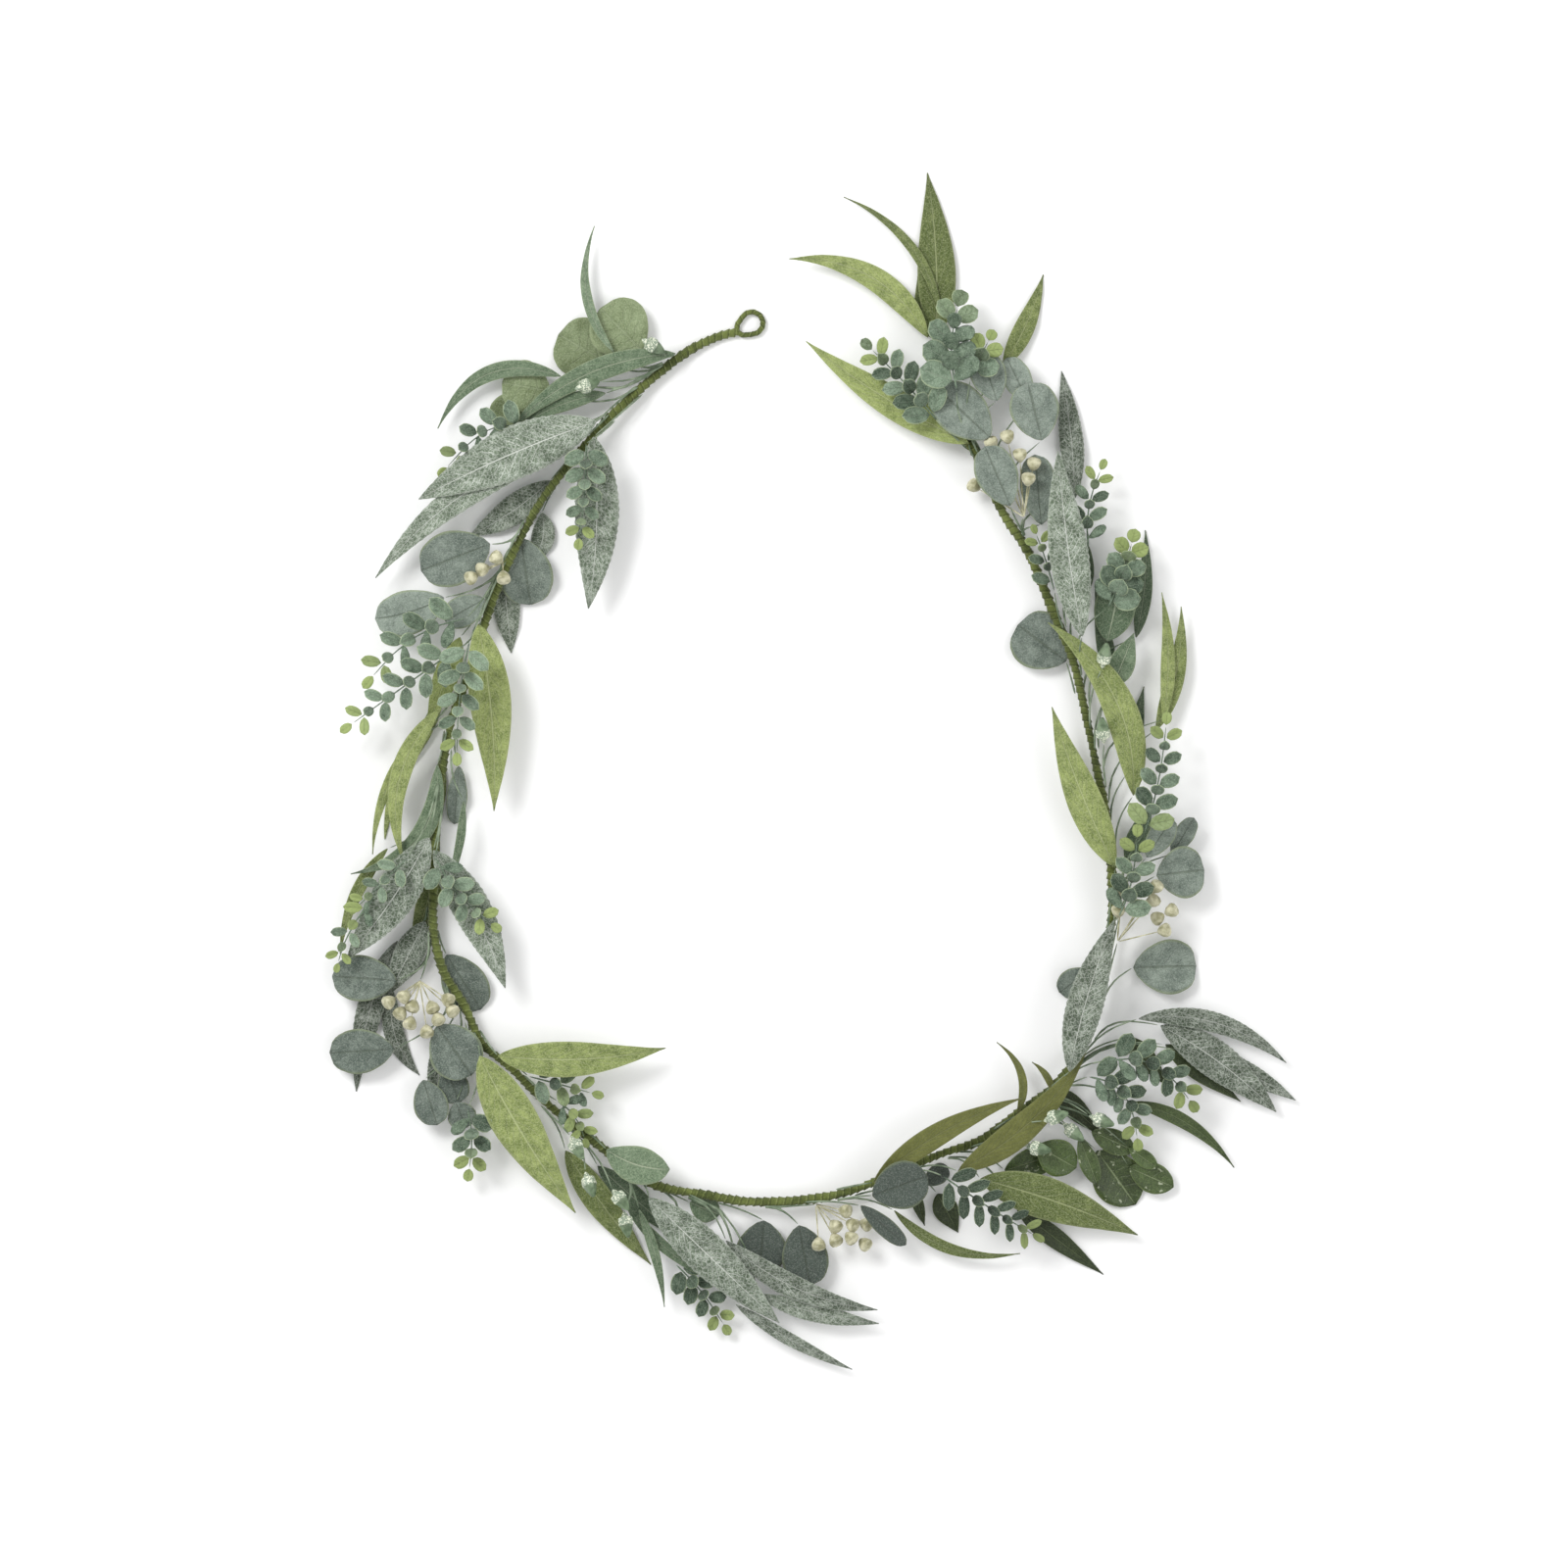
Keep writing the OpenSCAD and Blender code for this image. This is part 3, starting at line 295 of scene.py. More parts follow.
# Coated cloth: dark green with a thin waxy coat that takes a soft highlight
dark_cloth = leaf_material("coated_dark_cloth", ("#27360f", "#6b7b49", "#4c5f2e"), edge="#6f804a",
                           rib="#84926a", veins=9, vein_colour="#73835a", vein_show=0.4, roughness=0.45,
                           sheen=0.0, coat=0.12, net=0.2)
glossy_cloth = leaf_material("waxed_dark_cloth", ("#27360e", "#6e7f4c", "#4c6030"), edge="#7b8c58",
                             rib="#8d9a74", veins=7, vein_colour="#7d8c66", vein_show=0.35, roughness=0.35,
                             sheen=0.0, coat=0.22, mottle=12, specks="#b4bba0")
# Moulded soft polyethylene with a dusty paint: blue-green with a paler rim and lime tips
small_plastic = leaf_material("moulded_small_eucalyptus", ("#3a4f3a", "#a4b4a0", "#82967e"), edge="#b2c199",
                              rib="#93a38c", veins=4, vein_colour="#85987f", vein_show=0.3, mottle=6,
                              roughness=0.6, sheen=0.15, edge_show=0.75, lime=("#7f9150", "#afbf7c"))


def tape_material():
    """Crepe paper tape, wound: matt and fibrous, with painted shade where one turn covers the next and a painted
    highlight along each turn's edge.
    """
    material, shader = blank("wound_crepe_tape", 0.85, sheen=0.2, specular=0.3)
    place = add(material, "ShaderNodeTexCoord").outputs["Object"]
    uv = add(material, "ShaderNodeSeparateXYZ", {0: add(material, "ShaderNodeUVMap", uv_map="leaf").outputs[0]})
    turn = uv.outputs["X"]
    fibre = add(material, "ShaderNodeTexNoise", {"Vector": place, "Scale": 1000 / 0.8, "Detail": 3.0}).outputs["Fac"]
    patch = add(material, "ShaderNodeTexNoise", {"Vector": place, "Scale": 1000 / 16, "Detail": 3.0}).outputs["Fac"]
    step = add(material, "ShaderNodeMath", {0: fibre, 1: 0.6, 2: patch}, operation="MULTIPLY_ADD").outputs[0]
    step = add(material, "ShaderNodeMapRange", {"Value": step, "From Min": 0.55, "From Max": 1.05}).outputs[0]
    colour = add(material, "ShaderNodeMix", {0: step, 6: linear("#333d16"), 7: linear("#707b3f")},
                 data_type="RGBA").outputs[2]
    # painted shade: a dark line where one turn of tape covers the next
    painted_shade_seam = add(material, "ShaderNodeMapRange", {"Value": turn, "From Min": 0.28, "From Max": 0.0}).outputs[0]
    painted_shade_seam = add(material, "ShaderNodeMath", {0: painted_shade_seam, 1: 0.75}, operation="MULTIPLY").outputs[0]
    colour = add(material, "ShaderNodeMix", {0: painted_shade_seam, 6: colour, 7: linear("#1f2610")}, data_type="RGBA").outputs[2]
    # painted highlight: a paler band along each turn's edge
    painted_highlight_band = add(material, "ShaderNodeMapRange", {"Value": turn, "From Min": 0.8, "From Max": 0.95,
                 "To Max": 0.5}).outputs[0]
    colour = add(material, "ShaderNodeMix", {0: painted_highlight_band, 6: colour, 7: linear("#98a069")}, data_type="RGBA").outputs[2]
    material.node_tree.links.new(colour, shader.inputs["Base Color"])
    bump = add(material, "ShaderNodeBump", {"Strength": 0.7, "Distance": 0.3 * MM, "Height": fibre})
    material.node_tree.links.new(bump.outputs[0], shader.inputs["Normal"])
    return material


def cloudy_material(name, tones, grain_mm, roughness, sheen=0.0, strength=0.4, metallic=0.0, sparkle=None):
    """Moulded or coated finish: two tones in clouds, with a fine surface grain."""
    material, shader = blank(name, roughness, sheen=sheen)
    shader.inputs["Metallic"].default_value = metallic
    place = add(material, "ShaderNodeTexCoord").outputs["Object"]
    cloud = add(material, "ShaderNodeTexNoise", {"Vector": place, "Scale": 1000 / (grain_mm * 6),
                "Detail": 3.0}).outputs["Fac"]
    grain = add(material, "ShaderNodeTexNoise", {"Vector": place, "Scale": 1000 / grain_mm,
                "Detail": 3.0}).outputs["Fac"]
    step = add(material, "ShaderNodeMapRange", {"Value": cloud, "From Min": 0.38, "From Max": 0.62}).outputs[0]
    colour = add(material, "ShaderNodeMix", {0: step, 6: linear(tones[0]), 7: linear(tones[1])},
                 data_type="RGBA").outputs[2]
    if sparkle:
        # painted glints: bright flecks on the crown stand in for the glitter's sparkle
        flake = add(material, "ShaderNodeTexVoronoi", {"Vector": place, "Scale": 1000 / 0.8})
        painted_glint = add(material, "ShaderNodeSeparateColor", {0: flake.outputs["Color"]}).outputs[0]
        painted_glint = add(material, "ShaderNodeMapRange", {"Value": painted_glint, "From Min": 0.55, "From Max": 0.75}).outputs[0]
        head = add(material, "ShaderNodeAttribute", attribute_name="young").outputs["Fac"]
        painted_glint = add(material, "ShaderNodeMath", {0: painted_glint, 1: head}, operation="MULTIPLY").outputs[0]
        colour = add(material, "ShaderNodeMix", {0: head, 6: colour, 7: linear(sparkle[0])},
                     data_type="RGBA").outputs[2]
        colour = add(material, "ShaderNodeMix", {0: painted_glint, 6: colour, 7: linear(sparkle[1])},
                     data_type="RGBA").outputs[2]
    material.node_tree.links.new(colour, shader.inputs["Base Color"])
    bump = add(material, "ShaderNodeBump", {"Strength": strength, "Distance": 0.3 * MM, "Height": grain})
    material.node_tree.links.new(bump.outputs[0], shader.inputs["Normal"])
    return material


crepe_tape = tape_material()
# Annealed steel wire inside the tape
core_steel = cloudy_material("annealed_steel_wire", ("#6f6a64", "#8f8a82"), 0.5, 0.45, metallic=1.0)
# Moulded polyethylene seed capsules, powdery cream
seed_plastic = cloudy_material("powdered_cream_capsule", ("#93916d", "#cfccae"), 1.0, 0.8, sheen=0.2)
# Moulded buds: blue-green calyx under a crown rolled in glitter, the glitter's sparkle painted on as pale flecks
bud_glitter = cloudy_material("glittered_bud", ("#4b5f42", "#75896a"), 0.8, 0.45, strength=0.9,
                              sparkle=("#8b9a85", "#e4e8d2"))
# Plastic coated stalk wire, dusty blue-green
twig_plastic = cloudy_material("coated_stalk_wire", ("#56674f", "#8a9880"), 1.5, 0.65)


# ---------------------------------------------------------------- reading the CAD leaves
def solids(node):
    """A merged copy of a CAD node, and its separate solids as lists of vertices."""
    mesh = bmesh.new()
    mesh.from_mesh(frame["nodes"][node].data)
    bmesh.ops.remove_doubles(mesh, verts=mesh.verts, dist=0.002 * MM)
    mesh.verts.ensure_lookup_table()
    seen, found = set(), []
    for start in mesh.verts:
        if start.index in seen:
            continue
        seen.add(start.index)
        part, queue = [], [start]
        while queue:
            vert = queue.pop()
            part.append(vert)
            for edge in vert.link_edges:
                other = edge.other_vert(vert)
                if other.index not in seen:
                    seen.add(other.index)
                    queue.append(other)
        found.append(part)
    return mesh, found


def sections(part):
    """Cross-sections of a leaf solid from base to tip as (right, middle, left), or None if it isn't a leaf."""
    if len(part) % 4 != 1 or len(part) < 13:
        return None
    for tip in part:
        if len(tip.link_edges) != 4:
            continue
        rings, seen, ring = [], {tip}, [tip]
        while True:
            ring = list({e.other_vert(v) for v in ring for e in v.link_edges} - seen)
            if len(ring) != 4:
                break
            seen.update(ring)
            rings.append([v.co.copy() for v in ring])
        if len(seen) == len(part):
            break
    else:
        return None
    rows, last = [], None
    for ring in reversed(rings):
        a, b = max(((p, q) for p in ring for q in ring), key=lambda pair: (pair[0] - pair[1]).length)
        rest = [p for p in ring if p is not a and p is not b]
        middle = (rest[0] + rest[1]) / 2
        if last and (a - last[0]).length > (b - last[0]).length:
            a, b = b, a
        rows.append((a, middle, b))
        last = rows[-1]
    heading = rows[-1][1] - rows[0][1]
    if heading.cross(rows[len(rows) // 2][2] - rows[len(rows) // 2][0]).z < 0:
        rows = [(c, m, a) for a, m, c in rows]
    return rows + [(tip.co.copy(),) * 3]


def smooth(points, t):
    """Point at share t of a smooth line through the points."""
    last = len(points) - 1
    t = min(max(t, 0.0), 1.0) * last
    i = min(int(t), last - 1)
    t -= i
    a, b, c, d = (points[min(max(k, 0), last)] for k in (i - 1, i, i + 1, i + 2))
    if i == 0:
        a = 2 * b - c
    if i == last - 1:
        d = 2 * c - b
    return 0.5 * (2 * b + (c - a) * t + (2 * a - 5 * b + 4 * c - d) * t * t + (3 * b - a - 3 * c + d) * t ** 3)


# Half width at share t of the length, over the greatest half width
OUTLINES = {
    "willow": lambda t: math.sin(math.pi * t ** 0.72) ** 1.05,
    "frosted": lambda t: math.sin(math.pi * t ** 0.82) ** 0.9,
    "oval": lambda t: math.sin(math.pi * t ** 1.1) ** 0.65,
    "round": lambda t: math.sqrt(max(0.0, 1 - (2 * t ** 1.12 - 1) ** 2)) * (1 - 0.35 * (1 - t) ** 4),
    "small": lambda t: math.sqrt(max(0.0, 1 - (2 * t ** 0.85 - 1) ** 2)) * (1 - 0.35 * (1 - t) ** 2),
}
GRIDS = {"willow": (26, 8), "frosted": (48, 8), "oval": (16, 8), "round": (18, 10), "small": (6, 4)}
templates = {}


def template(kind):
    """The flat cloth blank that each leaf of a kind is cut from: x along it, y across it, from 0 to 1."""
    if kind not in templates:
        steps_along, steps_across = GRIDS[kind]
        bpy.ops.object.select_all(action="DESELECT")
        bpy.ops.mesh.primitive_grid_add(x_subdivisions=steps_along, y_subdivisions=steps_across, size=1,
                                        location=(0.5, 0.5, 0))
        bpy.ops.object.transform_apply()
        flat = bpy.context.object
        flat.data.uv_layers[0].name = "leaf"
        for name in ("tint_and_shade", "young"):
            flat.data.attributes.new(name, "FLOAT", "POINT")
        templates[kind] = flat
    return templates[kind]


def leaf(rows, kind, tint_and_shade=0.0, young=0.0, fold=0.0, curl=0.0, wave=0.0, teeth=0):
    """Lays a cloth blank on the CAD leaf with those cross-sections.
    fold raises both edges, curl bends the tip, wave ripples the edges, teeth cuts a serrated edge."""
    flat = template(kind)
    copy = flat.copy()
    copy.data = flat.data.copy()
    bpy.context.scene.collection.objects.link(copy)
    outline = OUTLINES[kind]
    lengths = [0.0]
    for before, after in zip(rows, rows[1:]):
        lengths.append(lengths[-1] + (after[1] - before[1]).length)
    middle = [r[1] for r in rows]
    shares = [x / lengths[-1] for x in lengths]
    widths = [(r[2] - r[0]).length / 2 for r in rows]
    broad = max(w / max(0.05, outline(min(0.97, max(0.03, s)))) for w, s in zip(widths, shares)
                if 0.15 < s < 0.85) if kind != "small" else max(widths) / 0.95
    broad = min(broad, max(widths) * 1.06)
    sides = [(r[2] - r[0]).normalized() for r in rows[:-1]]
    sides.append(sides[-1])
    phase = dice.random() * 6.28
    ripple = 2.0 + dice.random() * 1.5
    length = lengths[-1]
    points = []
    for vert in flat.data.vertices:
        t, v = vert.co.x, 2 * vert.co.y - 1
        # the share of the length as an index into the cross-sections
        k = float(np.interp(t, shares, range(len(shares)))) / (len(shares) - 1)
        centre, side = smooth(middle, k), smooth(sides, k).normalized()
        ahead = smooth(middle, min(1.0, k + 0.02)) - smooth(middle, max(0.0, k - 0.02))
        up = ahead.cross(side).normalized()
        if up.z < 0:
            up = -up
        half = max(0.25 * MM, broad * outline(min(0.9999, max(0.0001, t))))
        if teeth and abs(v) > 0.99 and 0.05 < t < 0.97:
            half *= 1.0 + 0.045 * (1 - 2 * ((t * teeth) % 1.0))
        lift = half * abs(v) * fold + wave * v * v * math.sin(ripple * 6.28 * t + phase + (1.3 if v > 0 else 0))
        lift += curl * length * (t * t)
        point = centre + side * (v * half) + up * lift
        point.z = max(point.z, 0.4 * MM)
        points.extend(point)
    copy.data.vertices.foreach_set("co", points)
    for name, value in (("tint_and_shade", tint_and_shade), ("young", young)):
        copy.data.attributes[name].data.foreach_set("value", [value] * len(copy.data.vertices))
    return copy


def remainder(node, mesh, used, name, levels=1):
    """What is left of a CAD node when its leaves are taken out, smoothed: its stalks."""
    bmesh.ops.delete(mesh, geom=list(used), context="VERTS")
    if not mesh.verts:
        mesh.free()
        return None
    data = bpy.data.meshes.new(name)
    mesh.to_mesh(data)
    mesh.free()
    rest = bpy.data.objects.new(name, data)
    bpy.context.scene.collection.objects.link(rest)
    data.uv_layers.new(name="leaf") if not data.uv_layers else setattr(data.uv_layers[0], "name", "leaf")
    corner = data.uv_layers["leaf"].data
    corner.foreach_set("uv", [0.5, 0.25] * len(corner))
    for attribute in ("tint_and_shade", "young"):
        data.attributes.new(attribute, "FLOAT", "POINT")
    if levels:
        applied(rest, "SUBSURF", levels=levels, render_levels=levels)
    return rest


def body_of(node):
    return frame["nodes"][node]["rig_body"]


# ---------------------------------------------------------------- cloth leaves
# CAD node: outline, material, slot, usual tint, spread of tints
CLOTH = {
    "mottled_round_leaves": ("round", mottled_cloth, "mottled_leaf", 0.04, 0.04),
    "mint_leaves_upper_left": ("willow", mint_cloth, "mint_leaf", 0.0, 0.1),
    "frosted_leaves_upper_left": ("frosted", frosted_cloth, "frosted_leaf", 0.06, 0.1),
    "silver_dollar_leaves_left": ("round", dollar_cloth, "silver_dollar_leaf", 0.05, 0.1),
    "willow_leaves_left": ("willow", willow_cloth, "willow_leaf", 0.1, 0.08),
    "mint_leaves_left": ("willow", mint_cloth, "mint_leaf", -0.05, 0.08),
    "frosted_leaves_left": ("frosted", frosted_cloth, "frosted_leaf", 0.0, 0.08),
    "frosted_leaves_lower_left": ("frosted", frosted_cloth, "frosted_leaf", -0.1, 0.08),
    "silver_dollar_leaves_lower_left": ("round", dollar_cloth, "silver_dollar_leaf", -0.08, 0.08),
    "willow_leaves_lower_left": ("willow", willow_cloth, "willow_leaf", 0.06, 0.05),
    "round_leaves_lower_left": ("oval", mint_cloth, "mint_leaf", 0.05, 0.05),
    "mint_leaves_bottom_left": ("willow", mint_cloth, "mint_leaf", -0.15, 0.08),
    "frosted_leaves_bottom_left": ("frosted", frosted_cloth, "frosted_leaf", -0.03, 0.08),
    "silver_dollar_leaves_bottom": ("round", dollar_cloth, "silver_dollar_leaf", -0.38, 0.08),
    "willow_leaves_bottom_right": ("willow", willow_cloth, "willow_leaf", -0.16, 0.06),
    "dark_leaves_bottom_right": ("willow", dark_cloth, "dark_leaf", 0.0, 0.08),
    "glossy_leaves_bottom_right": ("oval", glossy_cloth, "dark_leaf", 0.1, 0.1),
    "frosted_leaves_bottom_right": ("frosted", frosted_cloth, "frosted_leaf", -0.08, 0.06),
    "silver_dollar_leaves_right": ("round", dollar_cloth, "silver_dollar_leaf", 0.08, 0.06),
    "willow_leaves_right": ("willow", willow_cloth, "willow_leaf", 0.06, 0.05),
    "mint_and_dark_leaves_right": ("willow", mint_cloth, "dark_leaf", -0.12, 0.1),
    "frosted_leaf_upper_right": ("frosted", frosted_cloth, "frosted_leaf", 0.08, 0.0),
    "silver_dollar_leaves_top": ("round", dollar_cloth, "silver_dollar_leaf", 0.08, 0.05),
    "frosted_leaf_top": ("frosted", frosted_cloth, "frosted_leaf", -0.05, 0.0),
    "willow_leaves_top": ("willow", willow_cloth, "willow_leaf", 0.1, 0.06),
}
POSTURE = {  # fold, curl, wave in metres, teeth
    "willow": (0.1, 0.0, 0.5 * MM, 0),
    "frosted": (0.06, 0.0, 0.5 * MM, 24),
    "oval": (0.12, 0.0, 0.4 * MM, 0),
    "round": (0.14, 0.03, 0.8 * MM, 0),
}
# Painted shade: how much darker a leaf is drawn that lies on the floor, under the others
LOW_PAINTED_SHADE = {"willow": 0.34, "frosted": 0.1, "oval": 0.1, "round": 0.14}
for node, (kind, material, slot, usual, spread) in CLOTH.items():
    mesh, parts = solids(node)
    leaves, used = [], set()
    for part in parts:
        rows = sections(part)
        if rows:
            fold, curl, wave, teeth = POSTURE[kind]
            # leaves that lie low, under the others, get painted shade: they are drawn darker
            height = sum(r[1].z for r in rows) / len(rows)
            tint_and_shade = usual + dice.uniform(-spread, spread) - LOW_PAINTED_SHADE[kind] * max(0.0, 1 - height / STEM_HEIGHT)
            olive = node == "willow_leaves_bottom_right" and rows[-1][1].y > -0.24
            if node == "mint_leaves_upper_left" and rows[-1][1].x < -0.24:
                tint_and_shade -= 0.14  # the arched leaf is drawn darker all over
            leaves.append(leaf(rows, kind, tint_and_shade=tint_and_shade, young=float(olive), fold=fold * dice.uniform(0, 2),
                               curl=curl, wave=wave, teeth=teeth))
            used.update(part)
    rest = remainder(node, mesh, used, node + "_rest")
    if leaves:
        piece = joined(leaves, node + "_cloth")
        applied(piece, "SOLIDIFY", thickness=LEAF_CLOTH, offset=0.0)
        leaves = [piece]
    piece = joined(leaves + ([rest] if rest else []), node + "_cloth")
    finished(piece, material, body_of(node), [node])

# ---------------------------------------------------------------- small eucalyptus
LIME_REACH = 17 * MM          # how far from a sprig's tip its leaves begin to turn lime green
# Dustier or darker sprigs than usual
SPRIG_TINT = {"small_eucalyptus_left": 0.14, "small_eucalyptus_right": 0.02, "small_eucalyptus_top": 0.05,
              "small_eucalyptus_upper_left": 0.08, "small_eucalyptus_bottom_right": -0.24,
              "small_eucalyptus_lower_right": -0.08, "small_eucalyptus_bottom_left": -0.05}
for node in sorted(n for n in frame["nodes"] if n.startswith("small_")):
    mesh, parts = solids(node)
    leaves, used, ends = [], set(), []
    read = [(part, sections(part)) for part in parts]
    for part, rows in read:
        if rows is None:
            # a stalk: its thin end is the sprig's tip
            spots = [v.co for v in part]
            a = max(spots, key=lambda p: (p - spots[0]).length)
            b = max(spots, key=lambda p: (p - a).length)
            girth = {}
            for end in (a, b):
                near = sorted(spots, key=lambda p: (p - end).length)[:4]
                centre = sum(near, Vector()) / 4
                girth[tuple(end)] = sum((p - centre).length for p in near)
            ends.append(Vector(min(girth, key=girth.get)))
    for part, rows in read:
        if rows is None:
            continue
        used.update(part)
        near = min([(rows[0][1] - end).length for end in ends] or [1.0])
        young = min(1.0, max(0.0, (LIME_REACH - near) / (8 * MM)))
        if node == "small_eucalyptus_top" and rows[0][1].y > 0.3 and rows[0][1].x < 0.112:
            young *= 0.2  # the tallest sprig of the end spray is blue-green to its tip
        tint_and_shade = SPRIG_TINT.get(node, 0.0) + dice.uniform(-0.14, 0.12)
        leaves.append(leaf(rows, "small", tint_and_shade=tint_and_shade, young=young, fold=dice.uniform(0.0, 0.6),
                           curl=dice.uniform(-0.05, 0.2)))
    rest = remainder(node, mesh, used, node + "_rest")
    piece = joined(leaves, node + "_moulded")
    applied(piece, "SOLIDIFY", thickness=PLASTIC, offset=0.0)
    if rest:
        piece = joined([piece, rest], node + "_moulded")
    finished(piece, small_plastic, body_of(node), [node])


# ---------------------------------------------------------------- seeds, buds and stalks
def turned(profile, sides, name, lobes=0, depth=0.0, young=None):
    """A closed form turned from (height, radius) pairs, with lobes pressed into its sides."""
    verts, faces, fresh = [], [], []
    for j, (height, radius) in enumerate(profile):
        for k in range(sides):
            angle = 2 * math.pi * k / sides
            r = radius * (1 + depth * math.cos(lobes * angle)) if lobes else radius
            verts.append((r * math.cos(angle), r * math.sin(angle), height))
            fresh.append(young[j] if young else 0.0)
    for j in range(len(profile) - 1):
        for k in range(sides):
            a, b = j * sides + k, j * sides + (k + 1) % sides
            faces.append((a, b, b + sides, a + sides))
    faces.append(tuple(range(sides))[::-1])
    faces.append(tuple((len(profile) - 1) * sides + k for k in range(sides)))
    data = bpy.data.meshes.new(name)
    data.from_pydata(verts, [], faces)
    obj = bpy.data.objects.new(name, data)
    bpy.context.scene.collection.objects.link(obj)
    data.uv_layers.new(name="leaf")
    data.attributes.new("tint_and_shade", "FLOAT", "POINT")
    data.attributes.new("young", "FLOAT", "POINT").data.foreach_set("value", fresh)
    return obj


def axis_of(part):
    """Middle and upward direction of a turned CAD solid: its two poles are where most facets meet."""
    poles = sorted(part, key=lambda v: len(v.link_edges))[-2:]
    middle = sum((v.co for v in part), Vector()) / len(part)
    low, high = sorted((p.co for p in poles), key=lambda c: -(c - middle).length)
    return (low + high) / 2, (high - low).normalized(), (high - low).length


def planted(form, centre, direction, size, spin):
    """A copy of the form with its own mesh, standing at centre along direction."""
    copy = form.copy()
    copy.data = form.data.copy()
    bpy.context.scene.collection.objects.link(copy)
    turn = direction.to_track_quat("Z", "Y").to_matrix() * size
    for vert in copy.data.vertices:
        p = vert.co
        c, s = math.cos(spin), math.sin(spin)
        vert.co = centre + turn @ Vector((c * p.x - s * p.y, s * p.x + c * p.y, p.z))
    return copy


SEED = turned([(-0.52, 0.07), (-0.42, 0.2), (-0.12, 0.42), (0.16, 0.5), (0.3, 0.47), (0.33, 0.34), (0.34, 0.2),
               (0.46, 0.05)], 10, "seed_form")
BUD = turned([(-0.52, 0.05), (-0.45, 0.1), (-0.25, 0.19), (-0.08, 0.24), (-0.04, 0.27), (0.12, 0.27), (0.24, 0.25),
              (0.27, 0.14), (0.4, 0.09), (0.5, 0.02)], 15, "bud_form", lobes=5, depth=0.07,
             young=(0, 0, 0, 0.1, 1, 1, 1, 0.8, 1, 1))
# Heads of each kind: CAD name, form, material, slot, range of CAD lengths in mm, and the form's size over that
# length. The heads come out larger than their CAD solids: capsules 10.3 mm across for 7.6, buds 19.4 mm long for 17.
# A capsule that is one solid with its stalk in CAD is drawn without that stalk.
for prefix, form, material, slot, sized, enlarged in (
        ("cream_", SEED, seed_plastic, "seed_capsule", (5, 9), 1.5),
        ("glitter_", BUD, bud_glitter, "bud", (14, 19), 1.12)):
    for node in sorted(n for n in frame["nodes"] if n.startswith(prefix)):
        mesh, parts = solids(node)
        heads, used = [], set()
        for part in parts:
            centre, direction, size = axis_of(part)
            if sized[0] * MM < size < sized[1] * MM and len(part) > 60:
                heads.append(planted(form, centre, direction, size * enlarged, dice.uniform(0, 6.28)))
                used.update(part)
        rest = remainder(node, mesh, used, node + "_rest")
        piece = joined(heads + ([rest] if rest else []), node + "_moulded")
        finished(piece, material, body_of(node), [node])
        alone(piece)
        bpy.ops.object.shade_smooth_by_angle(angle=math.radians(35))

for node in sorted(n for n in frame["nodes"] if n.startswith("twigs_")):
    mesh, parts = solids(node)
    piece = remainder(node, mesh, set(), node + "_stalks")
    finished(piece, twig_plastic, body_of(node), [node])

for form in (SEED, BUD, *templates.values()):
    bpy.data.objects.remove(form)


# ---------------------------------------------------------------- the taped stem
def route(first, last, gap_before, gap_after):
    """Evenly spaced points of the stem's centre line between two of its route points."""
    spans = 24
    whole = [smooth(STEM_ROUTE, (first + (last - first) * k / (spans * (last - first))) / (len(STEM_ROUTE) - 1))
             for k in range(spans * (last - first) + 1)]
    lengths = np.cumsum([0.0] + [(b - a).length for a, b in zip(whole, whole[1:])])
    stations = np.arange(gap_before, lengths[-1] - gap_after, TAPE_STEP)
    spots = [np.interp(stations, lengths, [p[k] for p in whole]) for k in range(3)]
    return [Vector(p) for p in zip(*spots)], stations


def taped_tube(points, stations, radius, name, sides=14, ridge=TAPE_RIDGE, swell=None, closed=False):
    """A tube with the overlapped ridges of tape wound round it."""
    verts, faces, turns = [], [], []
    count = len(points)
    for i, point in enumerate(points):
        before = points[(i - 1) % count if closed else max(0, i - 1)]
        after = points[(i + 1) % count if closed else min(count - 1, i + 1)]
        ahead = (after - before).normalized()
        side = ahead.cross(Vector((0, 0, 1))).normalized()
        up = side.cross(ahead)
        for k in range(sides):
            angle = 2 * math.pi * k / sides
            turn = (stations[i] / TAPE_TURN - k / sides + 0.15 * math.sin(stations[i] / (23 * MM))) % 1.0
            edge = max(0.0, 1 - turn * 1.05) ** 1.6
            r = radius - 0.35 * ridge + ridge * edge
            if swell:
                r *= swell(stations[i])
            verts.append(point + side * (r * math.cos(angle)) + up * (r * math.sin(angle)))
            turns.append(turn)
    rings = count if closed else count - 1
    for i in range(rings):
        for k in range(sides):
            a, b = i * sides + k, i * sides + (k + 1) % sides
            c, d = ((i + 1) % count) * sides + (k + 1) % sides, ((i + 1) % count) * sides + k
            faces.append((a, b, c, d))
    if not closed:
        faces.append(tuple(range(sides))[::-1])
        faces.append(tuple((count - 1) * sides + k for k in range(sides)))
    data = bpy.data.meshes.new(name)
    data.from_pydata(verts, [], faces)
    tube = bpy.data.objects.new(name, data)
    bpy.context.scene.collection.objects.link(tube)
    layer = data.uv_layers.new(name="leaf")
    for loop in data.loops:
        layer.data[loop.index].uv = (turns[loop.vertex_index], 0.0)
    bm = bmesh.new()
    bm.from_mesh(data)
    bmesh.ops.recalc_face_normals(bm, faces=bm.faces)
    bm.to_mesh(data)
    bm.free()
    return tube


def thick_and_thin(station):
    """Where stalks are taped in, the stem swells a little."""
    return (1.0 + 0.1 * math.sin(station / (31 * MM)) + 0.06 * math.sin(station / (11 * MM) + 1)
            + 0.05 * math.sin(station / (3.7 * MM) + 2 * math.sin(station / (19 * MM))))


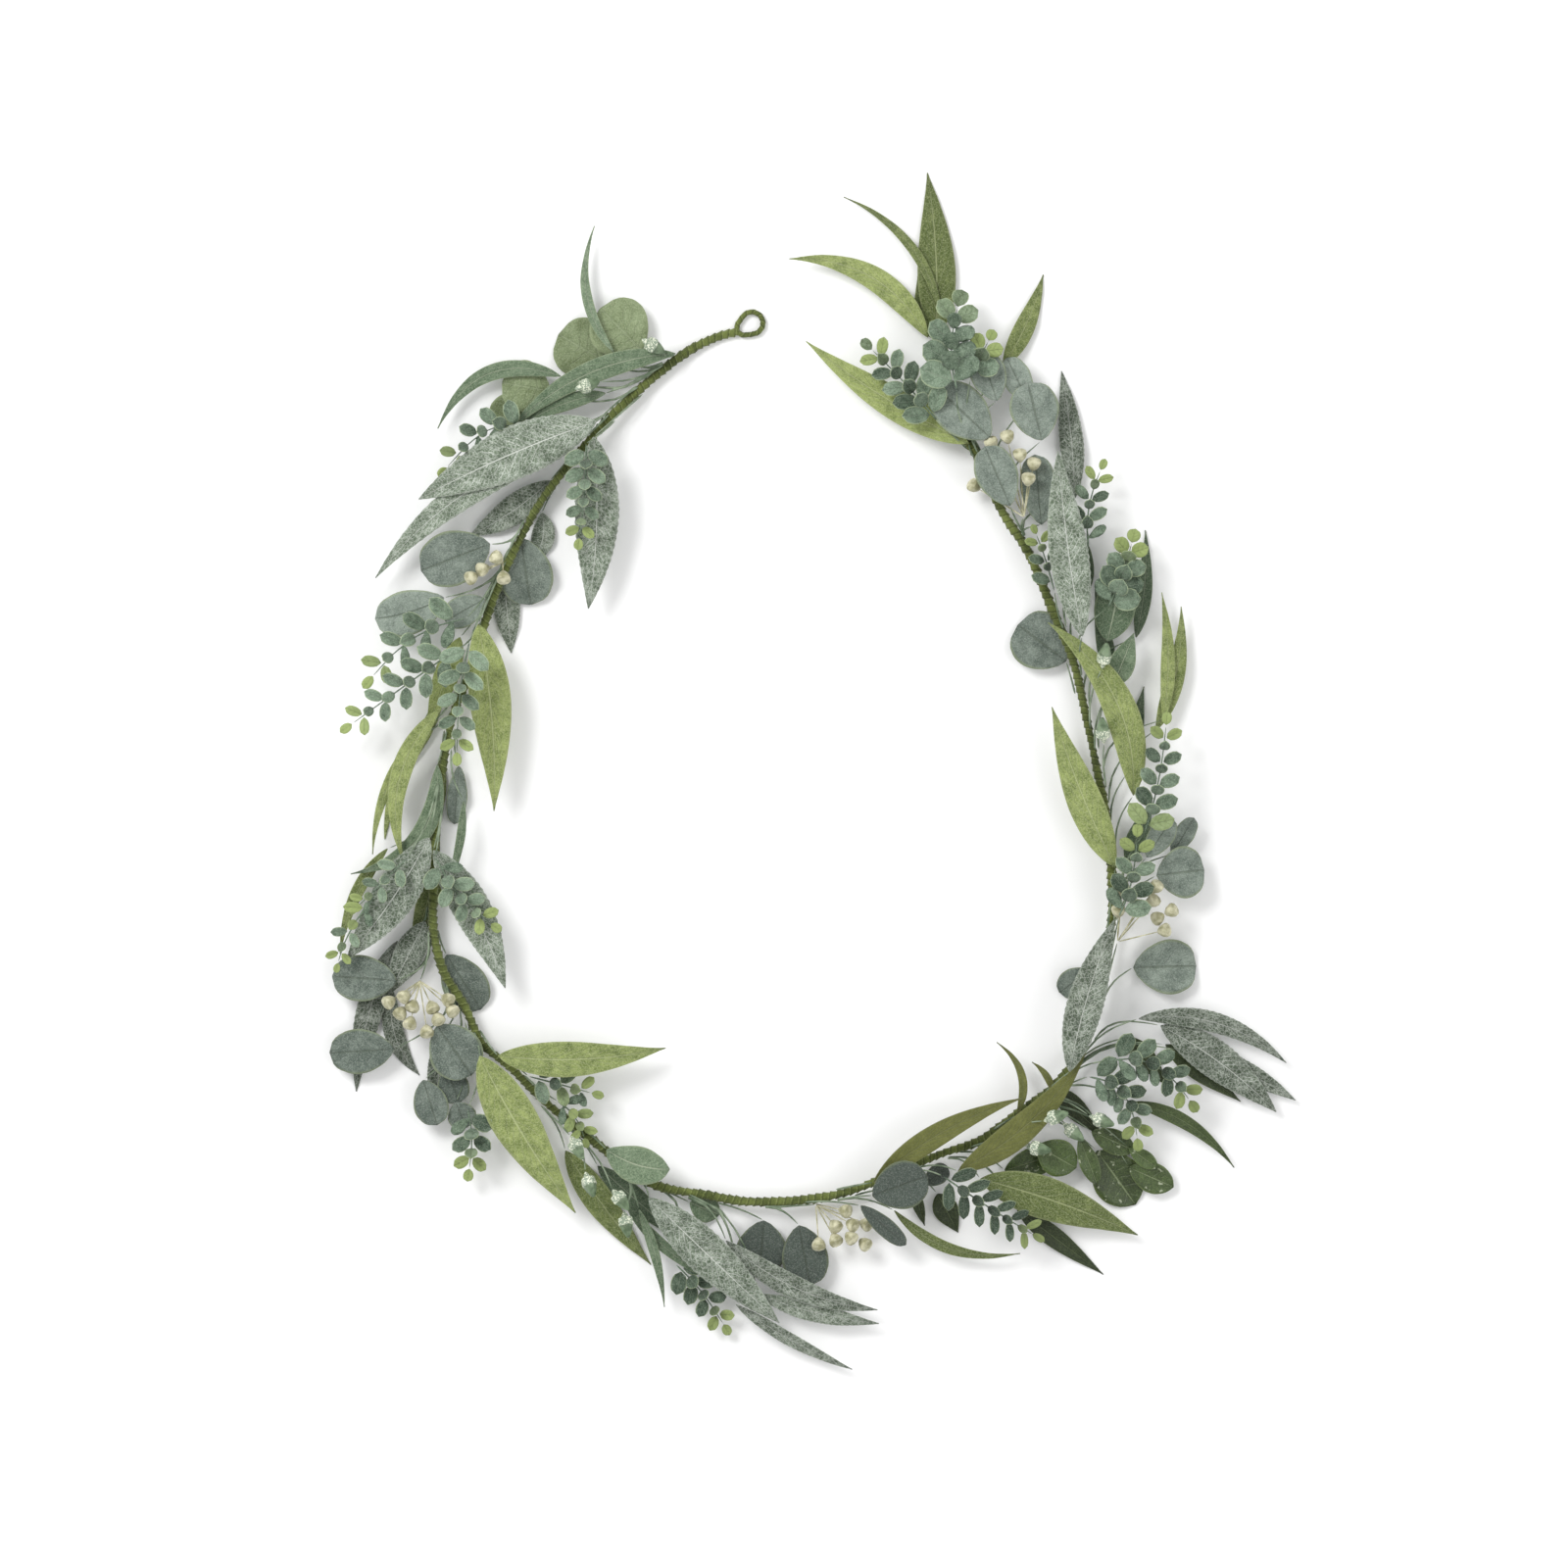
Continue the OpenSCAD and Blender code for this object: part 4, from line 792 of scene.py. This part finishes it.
last_point = len(STEM_ROUTE) - 1
for body, first, last in STEM_BODIES:
    points, stations = route(first, last, 0 if first == 0 else BEND_GAP / 2,
                             0 if last == last_point else BEND_GAP / 2)
    tube = taped_tube(points, stations, TAPE_R, f"taped_stem_{body}", swell=thick_and_thin if first else None)
    node = "stem_tape_" + body.replace("_stem", "") if body != "loop_end" else "stem_tape_loop_end"
    if first == 0:
        # the teardrop eye, its wire ends wound into the neck
        start = STEM_ROUTE[0]
        heading = Vector((10, 6, 0)).normalized()
        centre = start + heading * 12 * MM
        toward = math.atan2(-6, -10)
        ring = []
        for k in range(96):
            a = 2 * math.pi * k / 96
            q = LOOP_R * (1 + 0.5 * max(0.0, math.cos(a - toward)) ** 5)
            ring.append(Vector((centre.x + q * math.cos(a), centre.y + q * math.sin(a), start.z)))
        around = np.cumsum([0.0] + [(b - a).length for a, b in zip(ring, ring[1:])])
        eye = taped_tube(ring, around, LOOP_WIRE_R, "taped_hanging_loop", sides=12, ridge=0.35 * MM, closed=True)
        finished(eye, crepe_tape, body, ["hanging_loop"])
    finished(tube, crepe_tape, body, [node])

for (before, first, joint), (after, _, last) in zip(STEM_BODIES, STEM_BODIES[1:]):
    # a sleeve of tape closes each bend
    left = route(first, joint, 0, 0)[0]
    right = route(joint, last, 0, 0)[0]
    count = int(SLEEVE_REACH / TAPE_STEP)
    points = left[-count:] + right[1:count]
    stations = [k * TAPE_STEP for k in range(len(points))]
    sleeve = taped_tube(points, stations, TAPE_R + 0.25 * MM, f"tape_sleeve_{joint}")
    sleeve.data.materials.append(crepe_tape)
    alone(sleeve)
    bpy.ops.object.shade_smooth()
    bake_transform(sleeve)

for name, obj in frame["nodes"].items():
    if name.startswith("core_wire"):
        obj.data.materials.clear()
        obj.data.materials.append(core_steel)

# ---------------------------------------------------------------- floor, light and camera
paper, paper_shader = blank("white_seamless_paper", 0.95, specular=0.1)
paper_shader.inputs["Base Color"].default_value = linear("#f8f8f8")
bpy.ops.object.select_all(action="DESELECT")
bpy.ops.mesh.primitive_plane_add(size=12)
floor = bpy.context.object
floor.name = "floor"
floor.data.materials.append(paper)

world = bpy.data.worlds.new("soft_studio")
bpy.context.scene.world = world
world.use_nodes = True
world.node_tree.nodes["Background"].inputs["Color"].default_value = (1, 1, 1, 1)
world.node_tree.nodes["Background"].inputs["Strength"].default_value = 0.75


def softbox(name, place, size, watts):
    """A square soft light that points at the garland's middle."""
    light = bpy.data.lights.new(name, "AREA")
    light.size = size
    light.energy = watts
    lamp = bpy.data.objects.new(name, light)
    bpy.context.scene.collection.objects.link(lamp)
    lamp.location = place
    lamp.rotation_euler = (-Vector(place)).to_track_quat("-Z", "Y").to_euler()


softbox("key_light", (-1.6, 1.4, 2.6), 1.2, 60)
softbox("fill_light", (2.0, -0.6, 2.4), 1.8, 18)

bpy.context.scene.view_settings.view_transform = "Standard"
camera_data = bpy.data.cameras.new("camera")
camera_data.lens = 135
camera_data.sensor_width = 36
view_width = 1.12             # metres across the view at the garland's height
camera = bpy.data.objects.new("camera", camera_data)
bpy.context.scene.collection.objects.link(camera)
camera.location = (-0.0207, -0.0098, view_width * camera_data.lens / camera_data.sensor_width + 0.012)
camera_data.clip_end = 50
bpy.context.scene.camera = camera
